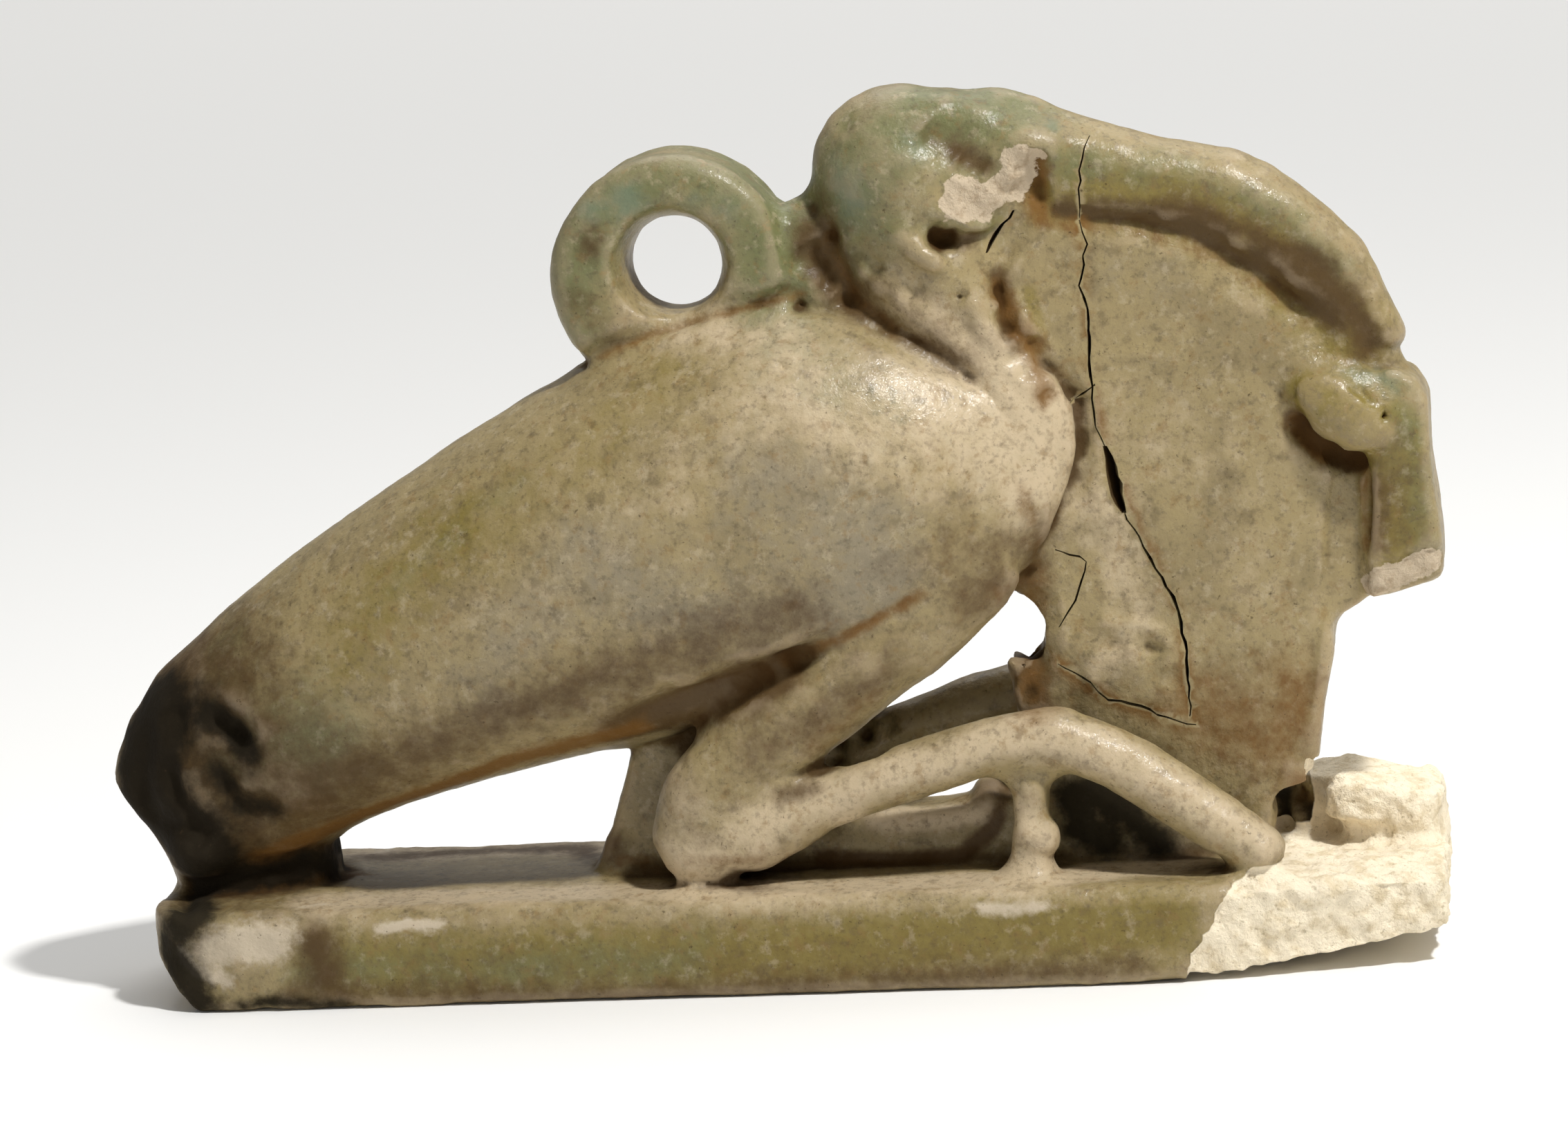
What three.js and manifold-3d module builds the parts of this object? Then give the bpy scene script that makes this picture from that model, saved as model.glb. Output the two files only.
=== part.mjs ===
// An ancient faience amulet, moulded in one piece: an ibis crouches on a plinth, its long bill laid along a web
// of the same paste and its bill tip resting on the curled top of an upright feather. A suspension ring stands
// on its back. The feather's foot, the plinth's front end and a flake of the cheek are broken away.
// Millimetres, +Z up. X runs along the plinth towards the bill, Y across it, and the origin is the middle of
// the plinth's underside.

import * as THREE from "three";
import { mergeVertices } from "three/addons/utils/BufferGeometryUtils.js";
import Module from "manifold-3d";

const wasm = await Module();
wasm.setup();

// The plinth: a low block with worn top edges and a round end under the tail.
const plinthLength = 41;
const plinthWidth = 9.8;
const plinthHeight = 3.2;
const plinthTopRound = 0.8;
const plinthFootRound = 0.25;
const plinthCornerRadius = 2.2;
const plinthBreakReach = 7.3;
const plinthHeelWear = 1.1;

// The stump that the feather's foot left on the plinth's broken end.
const stumpLength = 5.2;
const stumpWidth = 2.6;
const stumpHeight = 2.1;
const stumpBevel = 0.25;

// The bird, from the plinth's top to the crown of its head. Its pose and carving are in hundredths of this
// height, x from the bird's own middle and z from the plinth's top.
const birdHeight = 24.7;
const birdForward = -0.34;
const bodyWidth = 10.2;
const headWidth = 5.2;
const neckWidth = 4.6;
const billWidth = 3.2;
const eyeSunk = 0.62;

// The suspension ring on the bird's back. Its bore sits a little above the ring's own middle.
const ringOuterDiameter = 7.8;
const ringBore = 3.1;
const ringThickness = 3.7;
const ringEdgeRound = 0.7;
const ringBoreRise = 0.42;
const ringSunk = 1.9;

// The legs, a pair astride the web. The far leg bends a little higher than the near one.
const legSpread = 5.8;
const toeSpread = 6.7;
const thighWidth = 3.1;
const shankWidth = 2.1;
const strutWidth = 1.4;
const farLegStretch = 1.12;

// The web of paste that fills the space below the bill, and the feather in front of it.
const webThickness = 2.6;
const webEdgeBevel = 0.35;
const legWebThickness = 2.4;
const featherShaftThickness = 3.4;
const featherWebThickness = 1.8;
const curlWidth = 4.2;

const share = birdHeight / 100;
const plinthFront = plinthLength / 2;
const plinthNearSide = -plinthWidth / 2;

// A point of the bird, from hundredths of its height to millimetres.
function place([x, z]) {
  return [birdForward + x * share, plinthHeight + z * share];
}

// Makes a solid out of any closed three.js geometry.
function solid(geometry) {
  const bare = geometry.clone();
  bare.deleteAttribute("normal");
  bare.deleteAttribute("uv");
  const merged = mergeVertices(bare, 1e-4);
  return new wasm.Manifold(
    new wasm.Mesh({
      numProp: 3,
      vertProperties: merged.attributes.position.array,
      triVerts: new Uint32Array(merged.index.array),
    }),
  );
}

// Turns a solid back into a geometry.
function geometryOf(body) {
  const mesh = body.getMesh();
  const geometry = new THREE.BufferGeometry();
  geometry.setAttribute(
    "position",
    new THREE.BufferAttribute(mesh.vertProperties.slice(), 3),
  );
  geometry.setIndex(new THREE.BufferAttribute(mesh.triVerts, 1));
  geometry.computeVertexNormals();
  return geometry;
}

// Breaks away all of a solid that lies beyond a plane, given by a point of it and its outward direction.
function breakOff(body, point, outward) {
  const inward = new THREE.Vector3(...outward).normalize().negate();
  return body.trimByPlane(
    inward.toArray(),
    inward.dot(new THREE.Vector3(...point)),
  );
}

// One corner of a rounded section: the superellipse of that power at an angle.
function superellipse(angle, power) {
  const c = Math.cos(angle);
  const s = Math.sin(angle);
  const bend = 2 / power;
  return [
    Math.sign(c) * Math.abs(c) ** bend,
    Math.sign(s) * Math.abs(s) ** bend,
  ];
}

// A rounded form swept along a line in the bird's profile, its two ends closed in domes. Each station is
// [x, z, half thickness in profile, share of the full width], in hundredths of the bird's height but for the
// width's share. The line may drift in Y from one end to the other.
function sweep(stations, options) {
  const {
    width,
    sides,
    stepsPerSpan = 2,
    domeStart = 0.8,
    domeEnd = 0.8,
    yStart = 0,
    yEnd = 0,
    footPower = 2,
  } = options;
  const domeSteps = 3;
  const last = stations.length - 1;
  const route = new THREE.CatmullRomCurve3(
    stations.map((station, i) => {
      const [x, z] = place(station);
      return new THREE.Vector3(x, yStart + ((yEnd - yStart) * i) / last, z);
    }),
  );
  const girth = new THREE.CatmullRomCurve3(
    stations.map(
      ([, , half, wide]) =>
        new THREE.Vector3(half * share, (wide * width) / 2, 0),
    ),
  );
  const frameAt = (t, reach) => {
    const along = route.getTangent(t).setY(0).normalize();
    const size = girth.getPoint(t);
    return {
      centre: route.getPoint(t).addScaledVector(along, reach * size.x),
      up: new THREE.Vector3(-along.z, 0, along.x),
      size,
    };
  };
  const rings = [];
  const addRing = (t, reach, shrink) => {
    const { centre, up, size } = frameAt(t, reach);
    rings.push({ centre, up, half: size.x * shrink, wide: size.y * shrink });
  };
  const domeAngle = (i) => ((i / domeSteps) * Math.PI) / 2;
  for (let i = domeSteps - 1; i > 0; i--) {
    addRing(0, -domeStart * Math.sin(domeAngle(i)), Math.cos(domeAngle(i)));
  }
  const steps = last * stepsPerSpan;
  for (let i = 0; i <= steps; i++) addRing(i / steps, 0, 1);
  for (let i = 1; i < domeSteps; i++) {
    addRing(1, domeEnd * Math.sin(domeAngle(i)), Math.cos(domeAngle(i)));
  }

  const points = [];
  const faces = [];
  for (const ring of rings) {
    for (let i = 0; i < sides; i++) {
      const angle = (i / sides) * 2 * Math.PI;
      const [a, b] = superellipse(angle, Math.cos(angle) < 0 ? footPower : 2);
      const point = ring.centre.clone().addScaledVector(ring.up, a * ring.half);
      points.push(point.x, point.y + b * ring.wide, point.z);
    }
  }
  for (let r = 0; r + 1 < rings.length; r++) {
    for (let i = 0; i < sides; i++) {
      const a = r * sides + i;
      const b = r * sides + ((i + 1) % sides);
      faces.push(a, a + sides, b, b, a + sides, b + sides);
    }
  }
  const addPole = (t, reach) => {
    points.push(...frameAt(t, reach).centre.toArray());
    return points.length / 3 - 1;
  };
  const startPole = addPole(0, -domeStart);
  const endPole = addPole(1, domeEnd);
  const lastRing = (rings.length - 1) * sides;
  for (let i = 0; i < sides; i++) {
    const next = (i + 1) % sides;
    faces.push(startPole, i, next);
    faces.push(endPole, lastRing + next, lastRing + i);
  }
  const geometry = new THREE.BufferGeometry();
  geometry.setAttribute(
    "position",
    new THREE.Float32BufferAttribute(points, 3),
  );
  geometry.setIndex(faces);
  return solid(geometry);
}

// A plate standing upright along the plinth: an outline [x, z] in millimetres, with its edges bevelled.
function plate(outline, thickness, bevel, y = 0) {
  const shape = new THREE.Shape(
    outline.map(([x, z]) => new THREE.Vector2(x, z)),
  );
  const geometry = new THREE.ExtrudeGeometry(shape, {
    depth: thickness - 2 * bevel,
    bevelEnabled: true,
    bevelThickness: bevel,
    bevelSize: bevel,
    bevelOffset: -bevel,
    bevelSegments: 2,
  });
  geometry.translate(0, 0, bevel - thickness / 2);
  geometry.rotateX(Math.PI / 2);
  geometry.translate(0, y, 0);
  return solid(geometry);
}

// A ball pressed out of shape, at a place of the bird, its radii in hundredths of the bird's height.
function ball(at, y, [rx, ry, rz], turn, detail) {
  const geometry = new THREE.SphereGeometry(1, detail, detail / 2);
  geometry.scale(rx * share, ry * share, rz * share);
  geometry.rotateY(turn);
  const [x, z] = place(at);
  geometry.translate(x, y, z);
  return solid(geometry);
}

// The plinth's section, rounded at the top edges and a little at the foot.
function plinthSection() {
  const half = plinthWidth / 2;
  const shoulder = half - plinthTopRound;
  const roundFrom = plinthHeight - plinthTopRound;
  const section = new THREE.Shape();
  section.moveTo(-half + plinthFootRound, 0);
  section.lineTo(half - plinthFootRound, 0);
  section.lineTo(half, plinthFootRound);
  section.absarc(shoulder, roundFrom, plinthTopRound, 0, Math.PI / 2);
  section.absarc(-shoulder, roundFrom, plinthTopRound, Math.PI / 2, Math.PI);
  section.lineTo(-half, plinthFootRound);
  return section;
}

// The plinth's plan, with a rounded end under the tail.
function plinthPlan() {
  const half = plinthWidth / 2;
  const turn = plinthCornerRadius;
  const plan = new THREE.Shape();
  plan.moveTo(plinthFront, -half);
  plan.lineTo(plinthFront, half);
  plan.absarc(turn - plinthFront, half - turn, turn, Math.PI / 2, Math.PI);
  plan.absarc(turn - plinthFront, turn - half, turn, Math.PI, 1.5 * Math.PI);
  return plan;
}

// The plinth before its front end broke: the bar of its section where it overlaps the prism of its plan.
function makePlinthBlock() {
  const roundSteps = 6;
  const bar = new THREE.ExtrudeGeometry(plinthSection(), {
    depth: plinthLength,
    bevelEnabled: false,
    curveSegments: roundSteps,
  });
  bar.rotateX(Math.PI / 2);
  bar.rotateZ(Math.PI / 2);
  bar.translate(-plinthFront, 0, 0);
  const prism = new THREE.ExtrudeGeometry(plinthPlan(), {
    depth: 2 * plinthHeight,
    bevelEnabled: false,
    curveSegments: roundSteps,
  });
  prism.translate(0, 0, -plinthHeight / 2);
  return solid(bar).intersect(solid(prism));
}

// The stump, a lump along the plinth's far edge that slopes down to the broken end.
function makeStump() {
  const outline = [
    [0, -0.4],
    [1, -0.4],
    [1, 0.1],
    [0.93, 0.46],
    [0.8, 0.8],
    [0.42, 1],
    [0.04, 0.88],
  ].map(([along, up]) => [
    plinthFront - stumpLength * (1 - along),
    plinthHeight + stumpHeight * up,
  ]);
  const y = plinthWidth / 2 - stumpBevel - stumpWidth / 2;
  return plate(outline, stumpWidth, stumpBevel, y);
}

// The plinth as it is now, its near front corner broken away below, beside and above, and the foot of its other
// end worn off. Each break is a plane: how far back it starts as a share of the broken length, how far up and in
// it starts, and which way it faces.
function makePlinth() {
  const breaks = [
    { back: 1, up: 0, inset: 0, outward: [0.15, -0.05, -0.98] },
    { back: 0.96, up: plinthHeight / 2, inset: 0, outward: [0.21, -0.97, -0.12] },
    {
      back: 0.71,
      up: plinthHeight,
      inset: plinthTopRound,
      outward: [0.12, -0.45, 0.88],
    },
  ];
  let plinth = makePlinthBlock().add(makeStump());
  for (const { back, up, inset, outward } of breaks) {
    const x = plinthFront - back * plinthBreakReach;
    plinth = breakOff(plinth, [x, plinthNearSide + inset, up], outward);
  }
  return breakOff(plinth, [-plinthFront, 0, plinthHeelWear], [-0.8, -0.1, -0.6]);
}

// The egg of the body, wings folded, from the tail tip on the plinth to the breast.
function makeBody() {
  return sweep(
    [
      [-78.8, 9.6, 12, 0.5],
      [-72, 16.4, 15.4, 0.66],
      [-59, 24.6, 17.3, 0.8],
      [-44, 31.7, 20, 0.9],
      [-27, 38.4, 23, 0.98],
      [-9.5, 44.9, 25, 1],
      [7.5, 49.3, 24.2, 0.97],
      [23, 49.2, 18.8, 0.8],
      [32.5, 48.6, 12, 0.56],
    ],
    {
      width: bodyWidth,
      sides: 34,
      domeStart: 0.42,
      domeEnd: 0.62,
      footPower: 2.5,
    },
  );
}

// The neck, folded back from the breast and up to the head.
function makeNeck() {
  return sweep(
    [
      [19.5, 85, 10.2, 1],
      [21, 77.5, 11, 0.98],
      [26.5, 70.5, 9.6, 0.96],
      [31.5, 63, 8.2, 1],
      [34.5, 55.5, 7.2, 1.02],
      [34.5, 47, 6, 0.96],
    ],
    { width: neckWidth, sides: 18 },
  );
}

function makeHead() {
  const halfWidth = headWidth / 2 / share;
  return ball([20.3, 88.2], 0, [13.2, halfWidth, 11.8], 0.12, 22);
}

// The paste that ties the ring's rim to the nape of the neck, and fills the corner below down to the back.
function makeNape() {
  const corner = ball([8.4, 75.8], 0, [4.8, 6.4, 7], 0, 12);
  return ball([6.8, 82], 0, [4.4, 5.6, 5], 0, 12).add(corner);
}

// The paste that fills the wedge between the underside of the tail and the plinth.
function makeTailJoint() {
  return sweep(
    [
      [-77, 1.4, 4, 0.9],
      [-70, 2.2, 5, 1],
      [-63, 2.6, 5, 0.9],
    ],
    { width: bodyWidth * 0.46, sides: 12, stepsPerSpan: 1, domeEnd: 0.7 },
  );
}

// The bill, thick at the forehead and curved down to its tip.
function makeBill() {
  return sweep(
    [
      [24.5, 91, 8.2, 0.95],
      [31, 91.5, 7.5, 1],
      [38.5, 89.6, 6.4, 1],
      [49.5, 87, 5.3, 0.98],
      [59.5, 85, 4.9, 0.94],
      [66.5, 81, 4.5, 0.9],
      [72.8, 75, 4.1, 0.85],
      [76.5, 68.6, 3.7, 0.8],
      [78.8, 65, 3.1, 0.7],
    ],
    { width: billWidth, sides: 18, domeStart: 0.3 },
  );
}

// A round of the lathe with its axis across the bird: a profile [radius, y] that closes on itself or on the
// axis.
function turned(profile, [x, z]) {
  const geometry = new THREE.LatheGeometry(
    profile.map(([radius, y]) => new THREE.Vector2(radius, y)),
    30,
  );
  geometry.translate(x, 0, z);
  return solid(geometry);
}

// The ring, a round boss with soft rims, sunk into the back and bored from side to side.
function makeRing() {
  const outer = ringOuterDiameter / 2;
  const bore = ringBore / 2;
  const half = ringThickness / 2;
  const round = ringEdgeRound;
  const seat = place([-11.3, 68.9]);
  const lean = 0.12;
  const rise = outer - ringSunk;
  const middle = [seat[0] + rise * lean, seat[1] + rise];
  const rim = (from, across) => {
    const steps = 3;
    return Array.from({ length: steps + 1 }, (_, i) => {
      const angle = from + ((i / steps) * Math.PI) / 2;
      return [
        across + round * Math.cos(angle),
        round * Math.sin(angle),
      ];
    });
  };
  const raised = rim(0, outer - round).map(([r, y]) => [r, half - round + y]);
  const sunken = rim(-Math.PI / 2, outer - round).map(([r, y]) => [
    r,
    round - half + y,
  ]);
  const boss = turned([[0, -half], ...sunken, ...raised, [0, half]], middle);
  const reach = half + round;
  const flare = [
    [0, -reach],
    [bore + 2 * round, -reach],
    [bore + 0.3 * round, 0.3 * round - half],
    [bore, round - half],
    [bore, half - round],
    [bore + 0.3 * round, half - 0.3 * round],
    [bore + 2 * round, reach],
    [0, reach],
  ];
  return boss.subtract(turned(flare, [middle[0], middle[1] + ringBoreRise]));
}

// One leg: the thigh from under the wing to the heel on the plinth, then the shank up to the toe joint and the
// toes down to the plinth again, with a strut under the joint. The side is -1 for the near leg.
function makeLeg(side) {
  const hip = (side * legSpread) / 2;
  const toe = (side * toeSpread) / 2;
  const stretch = side > 0 ? farLegStretch : 1;
  const bent = (stations) =>
    stations.map(([x, z, half, wide]) => [x, z * stretch, half, wide]);
  const thigh = sweep(
    [
      [25, 41, 8.6, 0.6],
      [14.5, 33, 9.4, 1],
      [6, 25.4, 8, 1],
      [-3, 17.4, 7, 0.96],
      [-10, 10.4, 6, 0.9],
      [-12, 6, 5.2, 0.84],
    ],
    { width: thighWidth, sides: 14, yStart: hip * 0.85, yEnd: hip },
  );
  const shank = sweep(
    bent([
      [-11.8, 5.4, 5.6, 1.2],
      [-3, 6.8, 5, 1.1],
      [6, 10.6, 4, 1],
      [15.5, 13.3, 3.7, 0.98],
      [24, 15.8, 4, 1],
      [30.5, 17, 4.1, 1.02],
      [36.6, 17.4, 4.3, 1.04],
    ]),
    { width: shankWidth, sides: 12, yStart: hip, yEnd: hip },
  );
  const toes = sweep(
    bent([
      [34.5, 17.6, 4.2, 1.04],
      [42.2, 15, 4.1, 1.05],
      [49.4, 10.5, 4.1, 1.08],
      [55.6, 6, 4, 1.05],
      [61, 2.2, 3.4, 0.95],
    ]),
    { width: shankWidth, sides: 12, yStart: hip, yEnd: toe },
  );
  const strut = sweep(
    [
      [31.2, -1.5, 4.4, 1.5],
      [31.6, 2.5, 2.9, 1.05],
      [32, 7, 2.5, 1],
      [32, 12.5, 3.2, 1.1],
    ],
    { width: strutWidth, sides: 10, stepsPerSpan: 1, yStart: hip, yEnd: hip },
  );
  return thigh.add(shank).add(toes).add(strut);
}

// The paste between the legs: full height behind the thighs, a low wall from there to the toes' joint.
function makeLegWeb() {
  const outline = [
    [-26.5, -2],
    [-22.8, 7],
    [-19.2, 17],
    [-14, 27],
    [12, 30],
    [8, 21],
    [3, 12.5],
    [7, 8],
    [18, 7.4],
    [27, 8.2],
    [34, 10],
    [34, -2],
  ];
  return plate(outline.map(place), legWebThickness, webEdgeBevel);
}

// The web below the bill, with the ragged edge of the hole above the toe joint.
function makeBillWeb() {
  const outline = [
    [30, -2],
    [31.5, 12],
    [30, 20.5],
    [29.2, 26],
    [32.6, 27.6],
    [33.8, 30.5],
    [31, 33.5],
    [30, 38],
    [24, 45],
    [22, 70],
    [26, 88],
    [36, 90],
    [49, 86],
    [60, 83.5],
    [66, 79.5],
    [71.5, 74],
    [75.5, 68],
    [76.5, 62],
    [72.5, 55],
    [71.4, 48],
    [71, 36],
    [70.4, 30],
    [70.8, 26],
    [69.2, 19],
    [68, 9],
    [63, 7],
    [61, -2],
  ];
  return plate(outline.map(place), webThickness, webEdgeBevel);
}

// The upright feather: a thin vane beside its thicker shaft, broken off at a slant below, with its curled top
// under the bill's tip.
function makeFeather() {
  const vane = [
    [69, 28.6],
    [74.5, 31.5],
    [79, 34],
    [79, 60],
    [69, 58],
  ];
  const shaft = [
    [75, 32.5],
    [79, 33.2],
    [84.9, 35],
    [85, 40],
    [84.4, 46],
    [84, 51],
    [84, 57.5],
    [82.6, 60.6],
    [79, 62.5],
    [76, 60.5],
    [75.2, 56],
  ];
  const curl = sweep(
    [
      [80.5, 57.2, 4.6, 0.9],
      [76.5, 56.6, 4.6, 1],
      [72, 56.6, 4.3, 1],
      [68.4, 59, 3, 0.8],
    ],
    { width: curlWidth, sides: 14 },
  );
  return curl
    .add(plate(vane.map(place), featherWebThickness, webEdgeBevel))
    .add(plate(shaft.map(place), featherShaftThickness, webEdgeBevel));
}

// The eyes, a low boss in a long socket on each side of the head.
function carveEyes(bird) {
  for (const side of [-1, 1]) {
    const cheek = (side * headWidth) / 2;
    const socket = ball([24.4, 90.3], cheek * 1.04, [5.6, 3, 3.2], 0.75, 10);
    const boss = ball([23.4, 91], cheek - side * eyeSunk, [2.6, 2, 2], 0, 10);
    bird = bird.subtract(socket).add(boss);
  }
  return bird;
}

// The notches on both sides of the tail tip that mark off the feathers there.
function carveTail(bird) {
  const notches = [
    { at: [-71.5, 18], turn: 0.7 },
    { at: [-70.5, 10.2], turn: 0.45 },
  ];
  for (const side of [-1, 1]) {
    for (const { at, turn } of notches) {
      const y = side * bodyWidth * 0.325;
      bird = bird.subtract(ball(at, y, [4.6, 2.2, 1.2], turn, 10));
    }
  }
  return bird;
}

// The cheek on the near side, where a flake is gone: a flat cut that faces outwards, down and forwards.
function breakCheek(head) {
  const [x, z] = place([31, 83]);
  return breakOff(head, [x, -headWidth * 0.32, z], [0.42, -0.72, -0.55]);
}

// The whole bird with all that is moulded on to it.
function makeBird() {
  let bird = breakCheek(makeHead()).add(makeBody());
  const forms = [
    makeNeck(),
    makeNape(),
    makeTailJoint(),
    makeBill(),
    makeRing(),
    makeLeg(-1),
    makeLeg(1),
    makeLegWeb(),
    makeBillWeb(),
    makeFeather(),
  ];
  for (const form of forms) bird = bird.add(form);
  return carveTail(carveEyes(bird));
}

const faience = new THREE.MeshStandardMaterial({
  color: 0xa59a78,
  roughness: 0.45,
  metalness: 0,
});

const amulet = new THREE.Mesh(
  geometryOf(makePlinth().add(makeBird())),
  faience,
);
amulet.name = "ibis_amulet";

const group = new THREE.Group();
group.add(amulet);
export default group;
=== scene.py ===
import itertools
import math

import bpy
import numpy as np
from mathutils import Matrix, Vector
from mathutils.bvhtree import BVHTree


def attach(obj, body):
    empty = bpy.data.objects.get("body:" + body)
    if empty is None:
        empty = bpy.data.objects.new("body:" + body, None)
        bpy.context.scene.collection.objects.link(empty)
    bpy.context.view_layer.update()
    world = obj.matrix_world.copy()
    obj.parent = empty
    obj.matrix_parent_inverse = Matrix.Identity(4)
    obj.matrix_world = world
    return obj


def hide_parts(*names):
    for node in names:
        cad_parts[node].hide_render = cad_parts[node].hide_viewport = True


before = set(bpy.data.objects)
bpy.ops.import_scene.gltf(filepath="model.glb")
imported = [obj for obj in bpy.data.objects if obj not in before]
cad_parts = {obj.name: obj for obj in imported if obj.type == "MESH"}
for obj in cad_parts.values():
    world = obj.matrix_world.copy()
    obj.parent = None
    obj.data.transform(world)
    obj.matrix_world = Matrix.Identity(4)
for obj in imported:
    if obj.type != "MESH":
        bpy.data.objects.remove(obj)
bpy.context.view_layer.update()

mm = 0.001
plinthTop = 3.2 * mm

photo = {"width": 2268, "height": 1627}

view = {
    "azimuth": 7,  # degrees to the right of square on
    "elevation": 10,
    "roll": 3.45,  # the amulet stands a little turned in the frame
    "distance": 200 * mm,
    "target": (-0.09 * mm, 0, 12.87 * mm),
    "lens": 145.4,
    "sensor": 36,
}


def cameraAxes():
    a, e, r = (math.radians(view[name]) for name in ("azimuth", "elevation", "roll"))
    back = Vector((math.sin(a) * math.cos(e), -math.cos(a) * math.cos(e), math.sin(e)))
    level = Vector((0, 0, 1)).cross(back).normalized()
    upright = back.cross(level)
    right = level * math.cos(r) - upright * math.sin(r)
    up = upright * math.cos(r) + level * math.sin(r)
    return right, up, back


def makeCamera():
    right, up, back = cameraAxes()
    data = bpy.data.cameras.new("camera")
    data.lens = view["lens"]
    data.sensor_width = view["sensor"]
    data.clip_start = 5 * mm
    data.clip_end = 20
    camera = bpy.data.objects.new("camera", data)
    bpy.context.collection.objects.link(camera)
    camera.matrix_world = Matrix.Translation(
        Vector(view["target"]) + back * view["distance"]
    ) @ Matrix((right, up, back)).transposed().to_4x4()
    bpy.context.scene.camera = camera
    print("camera set")


def deselectAll():
    bpy.ops.object.select_all(action="DESELECT")


def activate(piece):
    deselectAll()
    piece.select_set(True)
    bpy.context.view_layer.objects.active = piece


def applyModifier(piece, kind, **settings):
    activate(piece)
    modifier = piece.modifiers.new(kind.lower(), kind)
    for name, value in settings.items():
        setattr(modifier, name, value)
    bpy.ops.object.modifier_apply(modifier=modifier.name)


def readPoints(piece):
    flat = np.empty(len(piece.data.vertices) * 3)
    piece.data.vertices.foreach_get("co", flat)
    return flat.reshape(-1, 3)


def readNormals(piece):
    flat = np.empty(len(piece.data.vertices) * 3, np.float32)
    piece.data.vertex_normals.foreach_get("vector", flat)
    return flat.reshape(-1, 3).astype(float)


def readEdges(piece):
    flat = np.empty(len(piece.data.edges) * 2, np.int32)
    piece.data.edges.foreach_get("vertices", flat)
    return flat.reshape(-1, 2)


def writePoints(piece, points):
    piece.data.vertices.foreach_set("co", points.ravel())
    piece.data.update()


def neighbourMean(points, edges):
    a, b = edges.T
    count = np.bincount(edges.ravel(), minlength=len(points))
    total = np.stack(
        [
            np.bincount(a, points[b, k], len(points)) + np.bincount(b, points[a, k], len(points))
            for k in range(points.shape[1])
        ],
        axis=1,
    )
    return total / np.maximum(count, 1)[:, None]


def soften(points, edges, rounds, share=0.5):
    for _ in range(rounds):
        points = points + share * (neighbourMean(points, edges) - points)
    return points


# Smooth random lumps between -1 and 1, with one lump about every "size".
def lumps(points, size, seed):
    side = 48
    lattice = np.random.default_rng(seed).uniform(-1, 1, (side, side, side))
    at = points / size + side / 2
    cell = np.floor(at).astype(int)
    part = at - cell
    part = part * part * (3 - 2 * part)
    total = np.zeros(len(points))
    for corner in itertools.product((0, 1), repeat=3):
        weight = np.prod(np.where(corner, part, 1 - part), axis=1)
        total += weight * lattice[tuple(((cell + corner) % side).T)]
    return total


# How far each point is from a line through several places, and how far along the line it is, from 0 to 1.
def alongPath(points, path):
    path = np.array(path, float)
    lengths = np.linalg.norm(np.diff(path, axis=0), axis=1)
    start = np.concatenate([[0], np.cumsum(lengths)])
    nearest = np.full(len(points), 1e9)
    share = np.zeros(len(points))
    for i, length in enumerate(lengths):
        way = (path[i + 1] - path[i]) / max(length, 1e-12)
        run = np.clip((points - path[i]) @ way, 0, length)
        away = np.linalg.norm(points - path[i] - run[:, None] * way, axis=1)
        closer = away < nearest
        nearest[closer] = away[closer]
        share[closer] = (start[i] + run[closer]) / start[-1]
    return nearest, share


def fade(distance, radius):
    return np.exp(-2 * (distance / radius) ** 2)


def smoothStep(value, start, end):
    t = np.clip((value - start) / (end - start), 0, 1)
    return t * t * (3 - 2 * t)


def foldOver(points):  # the far side laid over the near one
    return points * (1, 0, 1) - np.abs(points) * (0, 1, 0)


# Where a pixel of the photo meets the piece.
def findOn(tree, pixel):
    right, up, back = cameraAxes()
    scale = view["sensor"] / view["lens"] / photo["width"]
    x = (pixel[0] - photo["width"] / 2) * scale
    y = (photo["height"] / 2 - pixel[1]) * scale
    eye = Vector(view["target"]) + back * view["distance"]
    ray = (right * x + up * y - back).normalized()
    place, normal, _, _ = tree.ray_cast(eye, ray)
    if place is None:  # just past the outline: the closest place to the ray
        near = eye + ray * view["distance"]
        place, normal, _, _ = tree.find_nearest(near)
    return np.array(place), np.array(normal)


makeCamera()


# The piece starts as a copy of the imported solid, its loose triangles merged.
def copySolid():
    piece = bpy.data.objects.new("ibis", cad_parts["ibis_amulet"].data.copy())
    bpy.context.collection.objects.link(piece)
    activate(piece)
    bpy.ops.object.mode_set(mode="EDIT")
    bpy.ops.mesh.select_all(action="SELECT")
    bpy.ops.mesh.remove_doubles(threshold=0.0005 * mm)
    bpy.ops.object.mode_set(mode="OBJECT")
    return piece


ibis = copySolid()
print("solid copied:", len(ibis.data.polygons), "faces")


def treeOf(piece):
    return BVHTree.FromObject(piece, bpy.context.evaluated_depsgraph_get())


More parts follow.
